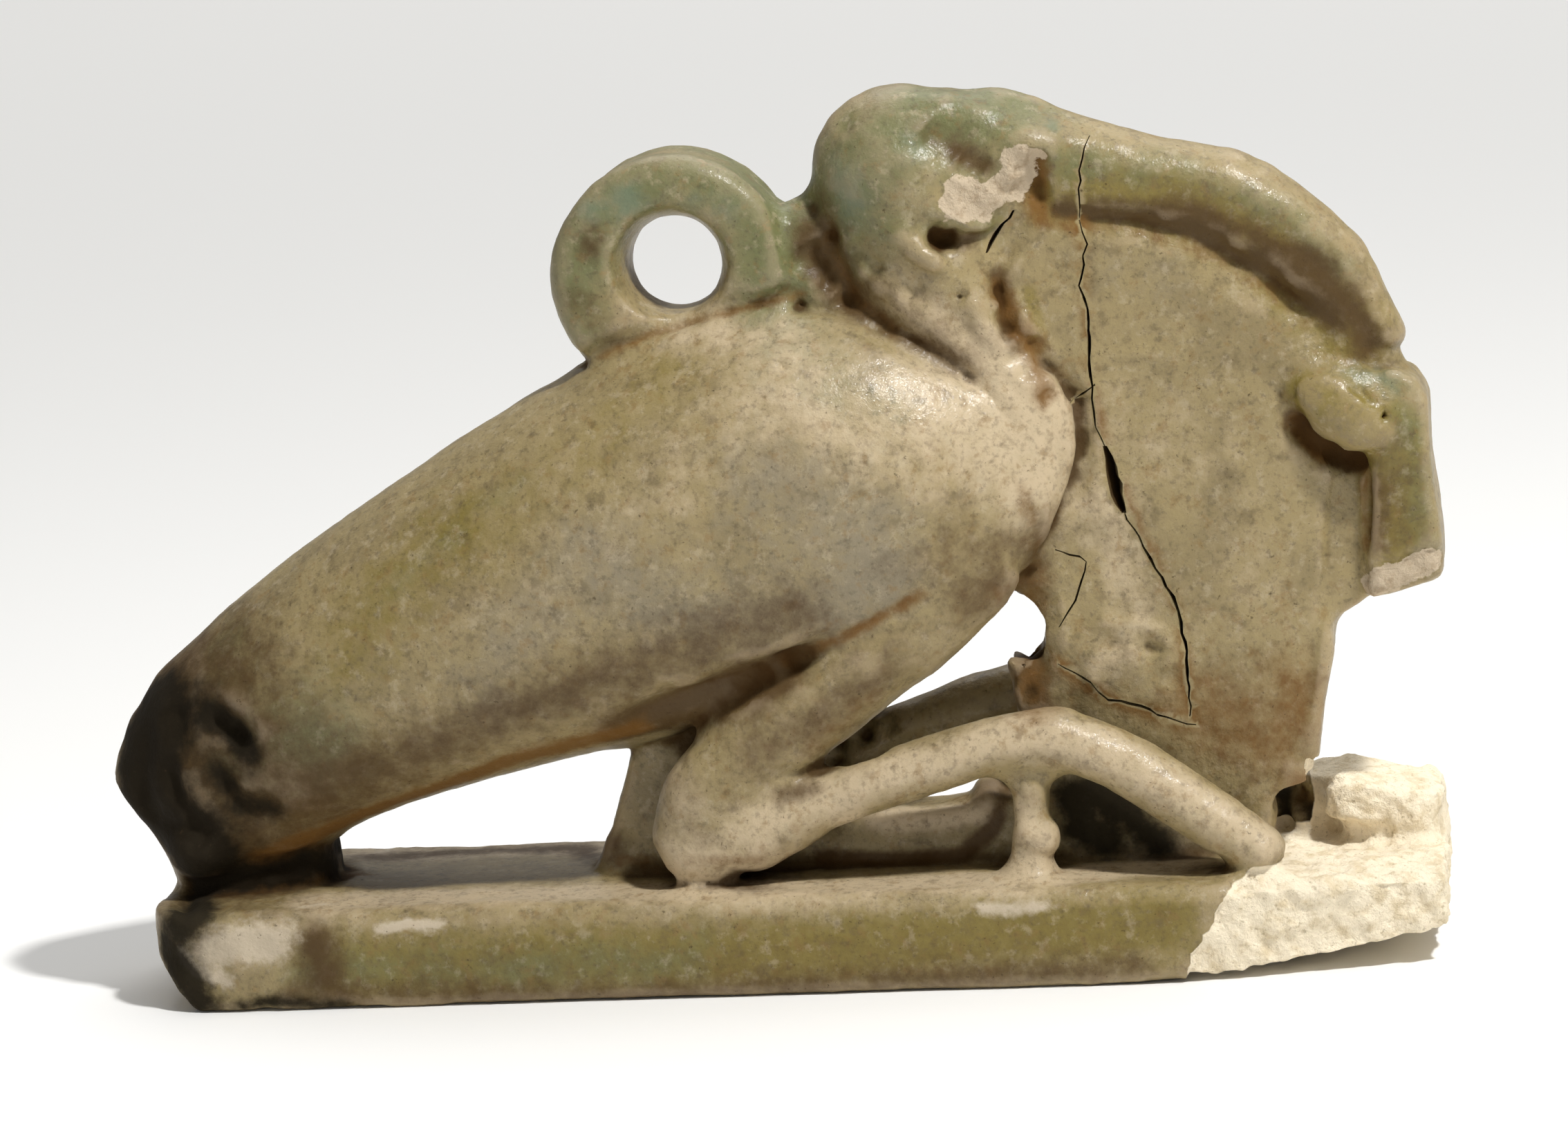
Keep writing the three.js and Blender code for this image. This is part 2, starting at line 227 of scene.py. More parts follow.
# Modelled lumps that are kneaded into the body of the piece. Sizes are in mm, across, deep and high; "tilt"
# lifts the right-hand end. A lump is on both sides of the bird or on its middle plane, moved back by "back".
forms = {
    "lore": {"at": (1478, 200), "size": (4.4, 4.3, 2.3), "tilt": -8, "sunk": 1.0, "side": "middle"},
    "crown": {"at": (1330, 150), "size": (4.0, 4.0, 1.8), "tilt": 4, "sunk": 0.6, "side": "middle"},
    "cheek": {"at": (1425, 285), "size": (2.5, 1.2, 1.5), "tilt": 28, "sunk": 0.3, "side": "both"},
    "throat": {"at": (1336, 372), "size": (2.2, 1.2, 1.0), "tilt": -30, "sunk": 0.28, "side": "both"},
    "billTip": {"at": (1986, 474), "size": (2.2, 2.4, 1.4), "tilt": -56, "sunk": 0.8, "side": "middle"},
    "curl": {"at": (1914, 596), "size": (2.9, 1.5, 1.2), "tilt": -38, "sunk": 0.55, "side": "both"},
    "curlJoin": {"at": (1950, 566), "size": (4.2, 1.9, 2.5), "tilt": -34, "sunk": 0.72, "side": "both"},
    "tipJoin": {"at": (1986, 525), "size": (2.4, 3.2, 1.7), "tilt": -20, "sunk": 0.25, "side": "middle"},
    "tipCorner": {"at": (2018, 520), "size": (1.7, 2.4, 1.5), "tilt": -20, "sunk": 0.9, "side": "middle"},
    "neckJoin": {"at": (1251, 456), "size": (2.4, 2.0, 1.4), "tilt": -32, "sunk": 0.45, "side": "both"},
    "gapEnd": {"at": (1436, 1140), "size": (1.6, 2.6, 1.5), "tilt": 10, "sunk": 0.2, "side": "middle"},
    "post": {"at": (1498, 1212), "size": (1.5, 1.3, 1.7), "tilt": 20, "sunk": 0.5, "side": "both"},
    "knob": {"at": (2018, 592), "size": (2.3, 3.3, 3.0), "tilt": 8, "sunk": 1.2, "side": "middle"},
    "webLobe": {"at": (1612, 962), "size": (3.9, 1.2, 2.5), "tilt": -12, "sunk": 0.3, "side": "both"},
    "dirtLump": {"at": (1492, 965), "size": (1.3, 2.1, 2.5), "tilt": -15, "sunk": 0.5, "side": "middle"},
    "tailEnd": {"at": (330, 1130), "size": (3.4, 7.0, 4.6), "tilt": -30, "sunk": 2.0, "side": "middle"},
    "breakCrest": {"at": (2002, 1150), "size": (4.2, 4.0, 2.0), "tilt": -6, "sunk": 1.15, "side": "block",
                   "back": -1.2},
}
roughBlock = {"bevel": 0.28, "rounds": 3, "cuts": 2, "fractal": 0.5, "seed": 4}  # a broken lump, of size 1


def addForms(piece):
    tree = treeOf(piece)
    for name, form in forms.items():
        place, normal = findOn(tree, form["at"])
        centre = place - normal * form["sunk"] * mm
        centre[1] += form.get("back", 0) * mm
        for side in {"both": (1, -1), "middle": (0,), "block": (1,)}[form["side"]]:
            deselectAll()
            if form["side"] == "block":
                bpy.ops.mesh.primitive_cube_add(size=1)
                bpy.ops.object.mode_set(mode="EDIT")
                bpy.ops.mesh.bevel(offset=roughBlock["bevel"], segments=roughBlock["rounds"])
                bpy.ops.mesh.subdivide(
                    number_cuts=roughBlock["cuts"], fractal=roughBlock["fractal"], seed=roughBlock["seed"]
                )
                bpy.ops.object.mode_set(mode="OBJECT")
            else:
                bpy.ops.mesh.primitive_ico_sphere_add(subdivisions=4, radius=0.5)
            lump = bpy.context.active_object
            lump.name = name
            lump.location = (centre[0], centre[1] * side, centre[2])
            lump.scale = [across * mm for across in form["size"]]
            lump.rotation_euler = (0, -math.radians(form["tilt"]), 0)
            bpy.ops.object.transform_apply(location=True, rotation=True, scale=True)
            piece.select_set(True)
            bpy.context.view_layer.objects.active = piece
            bpy.ops.object.join()


addForms(ibis)
voxel = 0.135 * mm  # fine enough for a groove half a millimetre wide
applyModifier(ibis, "REMESH", mode="VOXEL", voxel_size=voxel)
print("lumps joined and remeshed:", len(ibis.data.polygons), "faces")

# Grooves (below zero) and ridges (above zero) pressed along paths of the photo; radius and depth in mm.
# "both" repeats the stroke on the far side, where nothing is seen, at the share given there.
strokes = {
    "eye": {"path": [(1338, 180), (1364, 198), (1392, 222)], "radius": 1.05, "depth": -0.3, "both": 1},
    "eyeCorner": {"path": [(1390, 224), (1408, 234), (1426, 240)], "radius": 0.5, "depth": -0.26,
                  "both": 1},
    "brow": {"path": [(1350, 140), (1395, 150), (1440, 176)], "radius": 0.9, "depth": 0.06, "both": 1},
    "behindEye": {"path": [(1300, 215), (1325, 245), (1362, 268)], "radius": 0.6, "depth": 0.1, "both": 1},
    "cheekRim": {"path": [(1348, 300), (1398, 324), (1448, 322)], "radius": 0.36, "depth": 0.24, "both": 1},
    "underCheek": {"path": [(1339, 338), (1364, 348), (1392, 346)], "radius": 0.46, "depth": -0.66,
                   "both": 1},
    "throatRidge": {"path": [(1288, 336), (1330, 354), (1365, 384)], "radius": 0.42, "depth": 0.2,
                    "both": 1},
    "throatHollow": {"path": [(1232, 345), (1276, 396)], "radius": 0.6, "depth": -0.2, "both": 1},
    "billBase": {"path": [(1504, 215), (1498, 262), (1506, 304)], "radius": 0.4, "depth": -0.3, "both": 1},
    "nape": {"path": [(1164, 287), (1184, 306)], "radius": 0.5, "depth": -0.3, "both": 1},
    "ringCrevice": {"path": [(1172, 346), (1192, 384), (1212, 420)], "radius": 0.8, "depth": -0.34,
                    "both": 1},
    "neckCrease": {"path": [(1216, 428), (1244, 462), (1300, 500)], "radius": 0.5, "depth": -0.14,
                   "both": 1},
    "neckCreaseEnd": {"path": [(1290, 492), (1360, 530), (1420, 556)], "radius": 0.55, "depth": -0.12,
                      "both": 1},
    "neckFoldHigh": {"path": [(1215, 330), (1262, 400), (1330, 446)], "radius": 0.6, "depth": 0.1,
                     "both": 1},
    "neckFoldDip": {"path": [(1300, 400), (1372, 452), (1430, 512)], "radius": 0.45, "depth": -0.12,
                    "both": 1},
    "neckFold": {"path": [(1290, 430), (1360, 480), (1430, 540)], "radius": 0.5, "depth": 0.1, "both": 1},
    "neckEdge": {"path": [(1476, 320), (1450, 400), (1468, 473), (1527, 532), (1562, 581), (1568, 645),
                 (1557, 704), (1528, 778), (1480, 842)], "radius": 0.36, "depth": -0.36, "both": 1},
    "neckRidge": {"path": [(1392, 398), (1412, 448), (1446, 506)], "radius": 0.45, "depth": 0.14,
                  "both": 1},
    "neckGully": {"path": [(1440, 412), (1457, 470), (1488, 530)], "radius": 0.4, "depth": -0.34,
                  "both": 1},
    "neckKnot": {"path": [(1462, 482), (1490, 500)], "radius": 0.42, "depth": 0.26, "both": 0},
    "neckKnotLow": {"path": [(1510, 545), (1528, 560)], "radius": 0.35, "depth": 0.18, "both": 0},
    "neckPit": {"path": [(1386, 426), (1392, 432)], "radius": 0.22, "depth": -0.34, "both": 0},
    "breastRise": {"path": [(1400, 560), (1470, 600), (1510, 680)], "radius": 1.2, "depth": 0.12,
                   "both": 1},
    "shoulderDip": {"path": [(1390, 640), (1400, 720), (1370, 790)], "radius": 0.9, "depth": -0.16,
                    "both": 1},
    "underBill": {"path": [(1506, 308), (1560, 318), (1650, 326), (1760, 358), (1836, 404), (1897, 456),
                  (1944, 508)], "radius": 0.5, "depth": -0.3, "both": 1},
    "underBillDeep": {"path": [(1720, 360), (1836, 424), (1893, 476), (1940, 516)], "radius": 0.9,
                      "depth": -0.24, "both": 1},
    "curlShadow": {"path": [(1868, 592), (1882, 630), (1908, 654), (1950, 664), (1984, 658)], "radius": 0.5,
                   "depth": -0.6, "both": 1},
    "knobGroove": {"path": [(1953, 556), (1974, 572), (1992, 590)], "radius": 0.26, "depth": -0.2,
                   "both": 1},
    "underTip": {"path": [(1950, 516), (1992, 526), (2036, 520)], "radius": 0.3, "depth": -0.16, "both": 1},
    "knobPore": {"path": [(2001, 600), (2005, 604)], "radius": 0.26, "depth": -0.6, "both": 0},
    "featherLine": {"path": [(1976, 672), (1977, 793)], "radius": 0.26, "depth": -0.26, "both": 1},
    "webEdge": {"path": [(1930, 700), (1925, 827), (1914, 894), (1899, 938), (1885, 1040)], "radius": 0.3,
                "depth": -0.16, "both": 1},
    "webStreak": {"path": [(1604, 518), (1650, 511), (1693, 519)], "radius": 0.26, "depth": 0.11,
                  "both": 0},
    "webPit": {"path": [(1693, 383), (1697, 386)], "radius": 0.26, "depth": -0.22, "both": 0},
    "webPore": {"path": [(1852, 562), (1846, 580)], "radius": 0.16, "depth": -0.2, "both": 0},
    "webRecess": {"path": [(1494, 848), (1480, 920), (1488, 1018)], "radius": 0.75, "depth": -0.45,
                  "both": 1},
    "webFront": {"path": [(1532, 850), (1540, 900), (1536, 950)], "radius": 0.4, "depth": 0.14, "both": 0},
    "lobeTop": {"path": [(1560, 906), (1625, 900), (1692, 914)], "radius": 0.3, "depth": 0.12, "both": 0},
    "lobeFold": {"path": [(1575, 938), (1640, 930), (1700, 946)], "radius": 0.24, "depth": -0.12,
                 "both": 0},
    "footCavity": {"path": [(1848, 1136), (1876, 1152), (1902, 1176)], "radius": 0.5, "depth": -0.4,
                   "both": 1},
    "wingFold": {"path": [(900, 1044), (1001, 1010), (1068, 990), (1136, 962), (1215, 930)], "radius": 0.75,
                 "depth": -0.46, "both": 1},
    "wingFoldEnd": {"path": [(1130, 966), (1200, 936), (1266, 908), (1340, 858)], "radius": 0.6,
                    "depth": -0.2, "both": 1},
    "wingEdge": {"path": [(930, 1000), (1068, 950), (1195, 904)], "radius": 0.9, "depth": 0.1, "both": 1},
    "kneeGroove": {"path": [(1090, 1142), (1140, 1122), (1211, 1107), (1291, 1082), (1352, 1052)],
                   "radius": 0.42, "depth": -0.3, "both": 1},
    "tailNotch": {"path": [(302, 1030), (330, 1050), (358, 1084)], "radius": 0.6, "depth": -0.4, "both": 1},
    "tailNotchDeep": {"path": [(330, 1050), (352, 1068)], "radius": 0.34, "depth": -0.26, "both": 1},
    "tailNotchLow": {"path": [(322, 1112), (336, 1146), (366, 1168), (408, 1166)], "radius": 0.62,
                     "depth": -0.24, "both": 1},
    "tailStep": {"path": [(240, 1100), (262, 1150), (300, 1200)], "radius": 0.5, "depth": -0.16, "both": 1},
    "tailRidge": {"path": [(280, 1100), (284, 1140), (300, 1180)], "radius": 0.6, "depth": 0.1, "both": 1},
    "tailBrow": {"path": [(300, 1000), (350, 1020), (395, 1070)], "radius": 0.7, "depth": 0.06, "both": 1},
    "tailDip": {"path": [(214, 1040), (206, 1120), (214, 1200)], "radius": 0.6, "depth": -0.16, "both": 1},
    "tailHollow": {"path": [(250, 1020), (252, 1080)], "radius": 0.6, "depth": -0.26, "both": 1},
    "tailHollowLow": {"path": [(262, 1190), (306, 1222)], "radius": 0.7, "depth": -0.3, "both": 1},
    "underTail": {"path": [(250, 1282), (320, 1276), (400, 1252), (470, 1222)], "radius": 0.4,
                  "depth": -0.3, "both": 1},
    "bellyPit": {"path": [(1128, 528), (1136, 531)], "radius": 0.18, "depth": -0.26, "both": 0},
    "bellyScar": {"path": [(1222, 722), (1250, 712)], "radius": 0.22, "depth": -0.14, "both": 0},
    "wingDent": {"path": [(985, 932), (998, 918)], "radius": 0.22, "depth": -0.14, "both": 0},
    "ringScar": {"path": [(841, 526), (886, 500), (956, 474), (1024, 452)], "radius": 0.4, "depth": -0.3,
                 "both": 1},
    "ringScarRight": {"path": [(1024, 452), (1083, 441), (1133, 429), (1161, 421)], "radius": 0.4,
                      "depth": -0.3, "both": 1},
}


def spread(path, step):
    places = [np.array(path[0], float)]
    for a, b in zip(path, path[1:]):
        a, b = np.array(a, float), np.array(b, float)
        count = max(1, int(np.linalg.norm(b - a) / step))
        places += [a + (b - a) * k / count for k in range(1, count + 1)]
    return places


# How a tool in the hand cuts: the unevenness of a stroke, as a share and in mm, and the thinning at its ends.
hand = {
    "pixelStep": 22,  # between the places looked up along a path
    "width": (0.28, 0.7),
    "depth": (0.3, 0.9),
    "taper": 0.2,  # share of the length
    "blunt": 0.15,
    "reach": 2.2,  # in radii
}


def carve(piece, marks):
    tree = treeOf(piece)
    points, normals = readPoints(piece), readNormals(piece)
    moved = np.zeros(len(points))
    for mark in marks.values():
        path = np.array([findOn(tree, pixel)[0] for pixel in spread(mark["path"], hand["pixelStep"])])
        for side, share in ((1, 1), (-1, mark["both"])):
            if not share:
                continue
            line = path * (1, side, 1)
            reach = hand["reach"] * mark["radius"] * mm
            near = np.all((points > line.min(0) - reach) & (points < line.max(0) + reach), axis=1)
            away, along = alongPath(points[near], line)
            uneven, size = hand["width"]
            away = away * (1 + uneven * lumps(points[near], size * mm, 31))
            taper = np.clip(np.minimum(along, 1 - along) / hand["taper"] + hand["blunt"], 0, 1)
            uneven, size = hand["depth"]
            taper *= 1 + uneven * lumps(points[near], size * mm, 32)
            moved[near] += share * mark["depth"] * mm * taper * fade(away, mark["radius"] * mm)
    writePoints(piece, points + normals * moved[:, None])


# Places where the moulded form is calmed before it is carved again: a path and a radius in mm.
calmed = {
    "eye": ([(1335, 176), (1375, 205), (1416, 238)], 1.7),
    "footCorner": ([(1880, 1105), (1895, 1130)], 0.7),
    "tail": ([(300, 1080), (320, 1180)], 1.5),
    "heel": ([(960, 1180), (990, 1225)], 0.9),
    "thigh": ([(1060, 1110), (1180, 1060), (1290, 1000)], 1.2),
}


# The moulded facets melt away where that moves the form little, and true edges stay. "few" and "many" are
# rounds of softening; below "little" mm a place melts in full, and above "much" not at all.
melting = {"few": 7, "many": 130, "blend": 12, "little": 0.08, "much": 0.17}


def melt(piece):
    edges = readEdges(piece)
    tree = treeOf(piece)
    crisp = soften(readPoints(piece), edges, melting["few"])
    melted = soften(crisp, edges, melting["many"])
    change = np.linalg.norm(melted - crisp, axis=1)
    gentle = 1 - smoothStep(change, melting["little"] * mm, melting["much"] * mm)
    folded = foldOver(crisp)
    for path, radius in calmed.values():
        line = foldOver(np.array([findOn(tree, pixel)[0] for pixel in spread(path, 20)]))
        gentle = np.maximum(gentle, np.clip(1.4 * fade(alongPath(folded, line)[0], 1.3 * radius * mm), 0, 1))
    gentle = soften(gentle[:, None], edges, melting["blend"])
    writePoints(piece, crisp + gentle * (melted - crisp))


melt(ibis)
print("facets melted")
carve(ibis, strokes)
print("strokes carved:", len(strokes))
writePoints(ibis, soften(readPoints(ibis), readEdges(ibis), 1))

# Where the glaze ends at the plinth's broken end, on its front face from the top down, and the chips.
# A chip is a path with a radius in mm; its edges are ragged and its floor lies a little deeper.
breakage = {
    "edge": [(1800, 1255), (1791, 1265), (1763, 1298), (1748, 1337), (1734, 1370), (1712, 1412)],
    "high": 2.9,  # the stump's top over the plinth
    "toes": 1.9,  # how far the glazed feet reach past the edge
    "ragged": 0.22,
    "raggedLumps": ((0.7, 0.7), (0.32, 0.6)),  # size in mm and share
    "ledge": 0.16,
    "chipDepth": 0.07,
    "chipRagged": 0.42,
    "grain": ((1.4, 0.09), (0.5, 0.075), (0.26, 0.07)),  # lump size and height of the broken core, in mm
    "waves": ((3.2, 0.055), (1.3, 0.03), (0.6, 0.014), (0.31, 0.012)),  # the same for the whole surface
    "chips": {
        "cheek": ([(1392, 290), (1428, 286), (1462, 266), (1482, 238)], 0.74),
        "feather": ([(1978, 848), (2030, 832), (2072, 812)], 0.46),
    },
    # Places left rugged by dirt or wear: a path, a radius, and the size and height of the lumps, in mm.
    "rugged": {
        "neck": ([(1450, 400), (1470, 470), (1505, 560)], 0.9, 0.42, 0.15),
        "neckSide": ([(1230, 380), (1320, 450), (1400, 500)], 1.2, 0.6, 0.07),
        "head": ([(1240, 230), (1340, 160), (1440, 180)], 1.8, 1.0, 0.06),
        "leftEnd": ([(266, 1360), (330, 1400), (420, 1380)], 1.0, 0.7, 0.1),
        "cheek": ([(1400, 286), (1470, 255)], 0.8, 0.34, 0.12),
        "dirtLump": ([(1480, 930), (1500, 1010)], 0.9, 0.5, 0.2),
        "lobe": ([(1560, 960), (1620, 950), (1690, 970)], 1.5, 0.6, 0.13),
        "webLeft": ([(1600, 760), (1600, 860)], 1.1, 0.5, 0.05),
        "breastLow": ([(1480, 850), (1540, 830)], 0.8, 0.4, 0.08),
        "tail": ([(270, 1050), (280, 1200)], 1.6, 0.8, 0.1),
        "toeTip": ([(1800, 1215), (1850, 1250)], 0.6, 0.4, 0.1),
        "plinthTop": ([(300, 1290), (520, 1230), (760, 1215), (900, 1215)], 1.2, 0.6, 0.06),
        "plinthFoot": ([(245, 1420), (400, 1462), (800, 1462), (1300, 1440), (1700, 1415)], 0.45, 0.7, 0.08),
        "webFoot": ([(1740, 1060), (1880, 1100)], 1.2, 0.5, 0.05),
        "bill": ([(1540, 240), (1700, 250), (1860, 330), (1960, 440)], 1.1, 0.7, 0.035),
        "foot": ([(1450, 1060), (1600, 1085), (1760, 1170)], 1.0, 0.6, 0.04),
        "post": ([(1490, 1130), (1495, 1220)], 0.8, 0.6, 0.12),
        "body": ([(560, 940), (800, 800), (1050, 700), (1250, 700)], 3.5, 1.6, 0.03),
    },
}


def findBroken(piece, points):
    tree = treeOf(piece)
    wobble = sum(
        share * lumps(points, size * mm, seed)
        for seed, (size, share) in enumerate(breakage["raggedLumps"], start=11)
    )
    edge = np.array([findOn(tree, pixel)[0] for pixel in breakage["edge"]])
    order = np.argsort(edge[:, 2])
    reach = np.interp(points[:, 2], edge[order, 2], edge[order, 0])
    past = points[:, 0] - reach + breakage["ragged"] * mm * wobble
    end = smoothStep(past, -0.05 * mm, 0.1 * mm) * (points[:, 2] < plinthTop + breakage["high"] * mm)
    toes = smoothStep(points[:, 2] - plinthTop, 0.15 * mm, 0.4 * mm)
    toes *= points[:, 0] < reach + breakage["toes"] * mm
    end *= 1 - toes
    chips = np.zeros(len(points))
    for path, radius in breakage["chips"].values():
        line = [findOn(tree, pixel)[0] for pixel in spread(path, 14)]
        away = alongPath(points, line)[0] + breakage["chipRagged"] * radius * mm * wobble
        chips = np.maximum(chips, 1 - smoothStep(away, 0.7 * radius * mm, 1.15 * radius * mm))
    return end, chips


def roughen(piece):
    points, normals = readPoints(piece), readNormals(piece)
    end, chips = findBroken(piece, points)
    lift = sum(
        height * lumps(points, size * mm, seed)
        for seed, (size, height) in enumerate(breakage["waves"], start=1)
    )
    lift = lift - breakage["ledge"] * end - breakage["chipDepth"] * chips
    tree, folded = treeOf(piece), foldOver(points)
    for seed, (path, radius, size, height) in enumerate(breakage["rugged"].values()):
        line = foldOver(np.array([findOn(tree, pixel)[0] for pixel in spread(path, 20)]))
        near = fade(alongPath(folded, line)[0], 1.4 * radius * mm)
        lift += height * lumps(points, size * mm, 40 + seed) * near
    for seed, (size, height) in enumerate(breakage["grain"]):
        lift += height * lumps(points, size * mm, 20 + seed) * (end + 0.7 * chips)
    writePoints(piece, points + normals * (lift * mm)[:, None])
    keepMask(piece, "broken", end)
    keepMask(piece, "chipped", chips)


def keepMask(piece, name, values):
    mask = piece.data.attributes.new(name, "FLOAT", "POINT")
    mask.data.foreach_set("value", np.clip(values, 0, 1).astype(np.float32))


roughen(ibis)
print("surface roughened and broken")

trianglesKept = 186000  # the cracks add some, and the piece stays under 200,000
applyModifier(ibis, "DECIMATE", ratio=min(1, trianglesKept / (2 * len(ibis.data.polygons))))
print("thinned:", len(ibis.data.polygons), "faces")

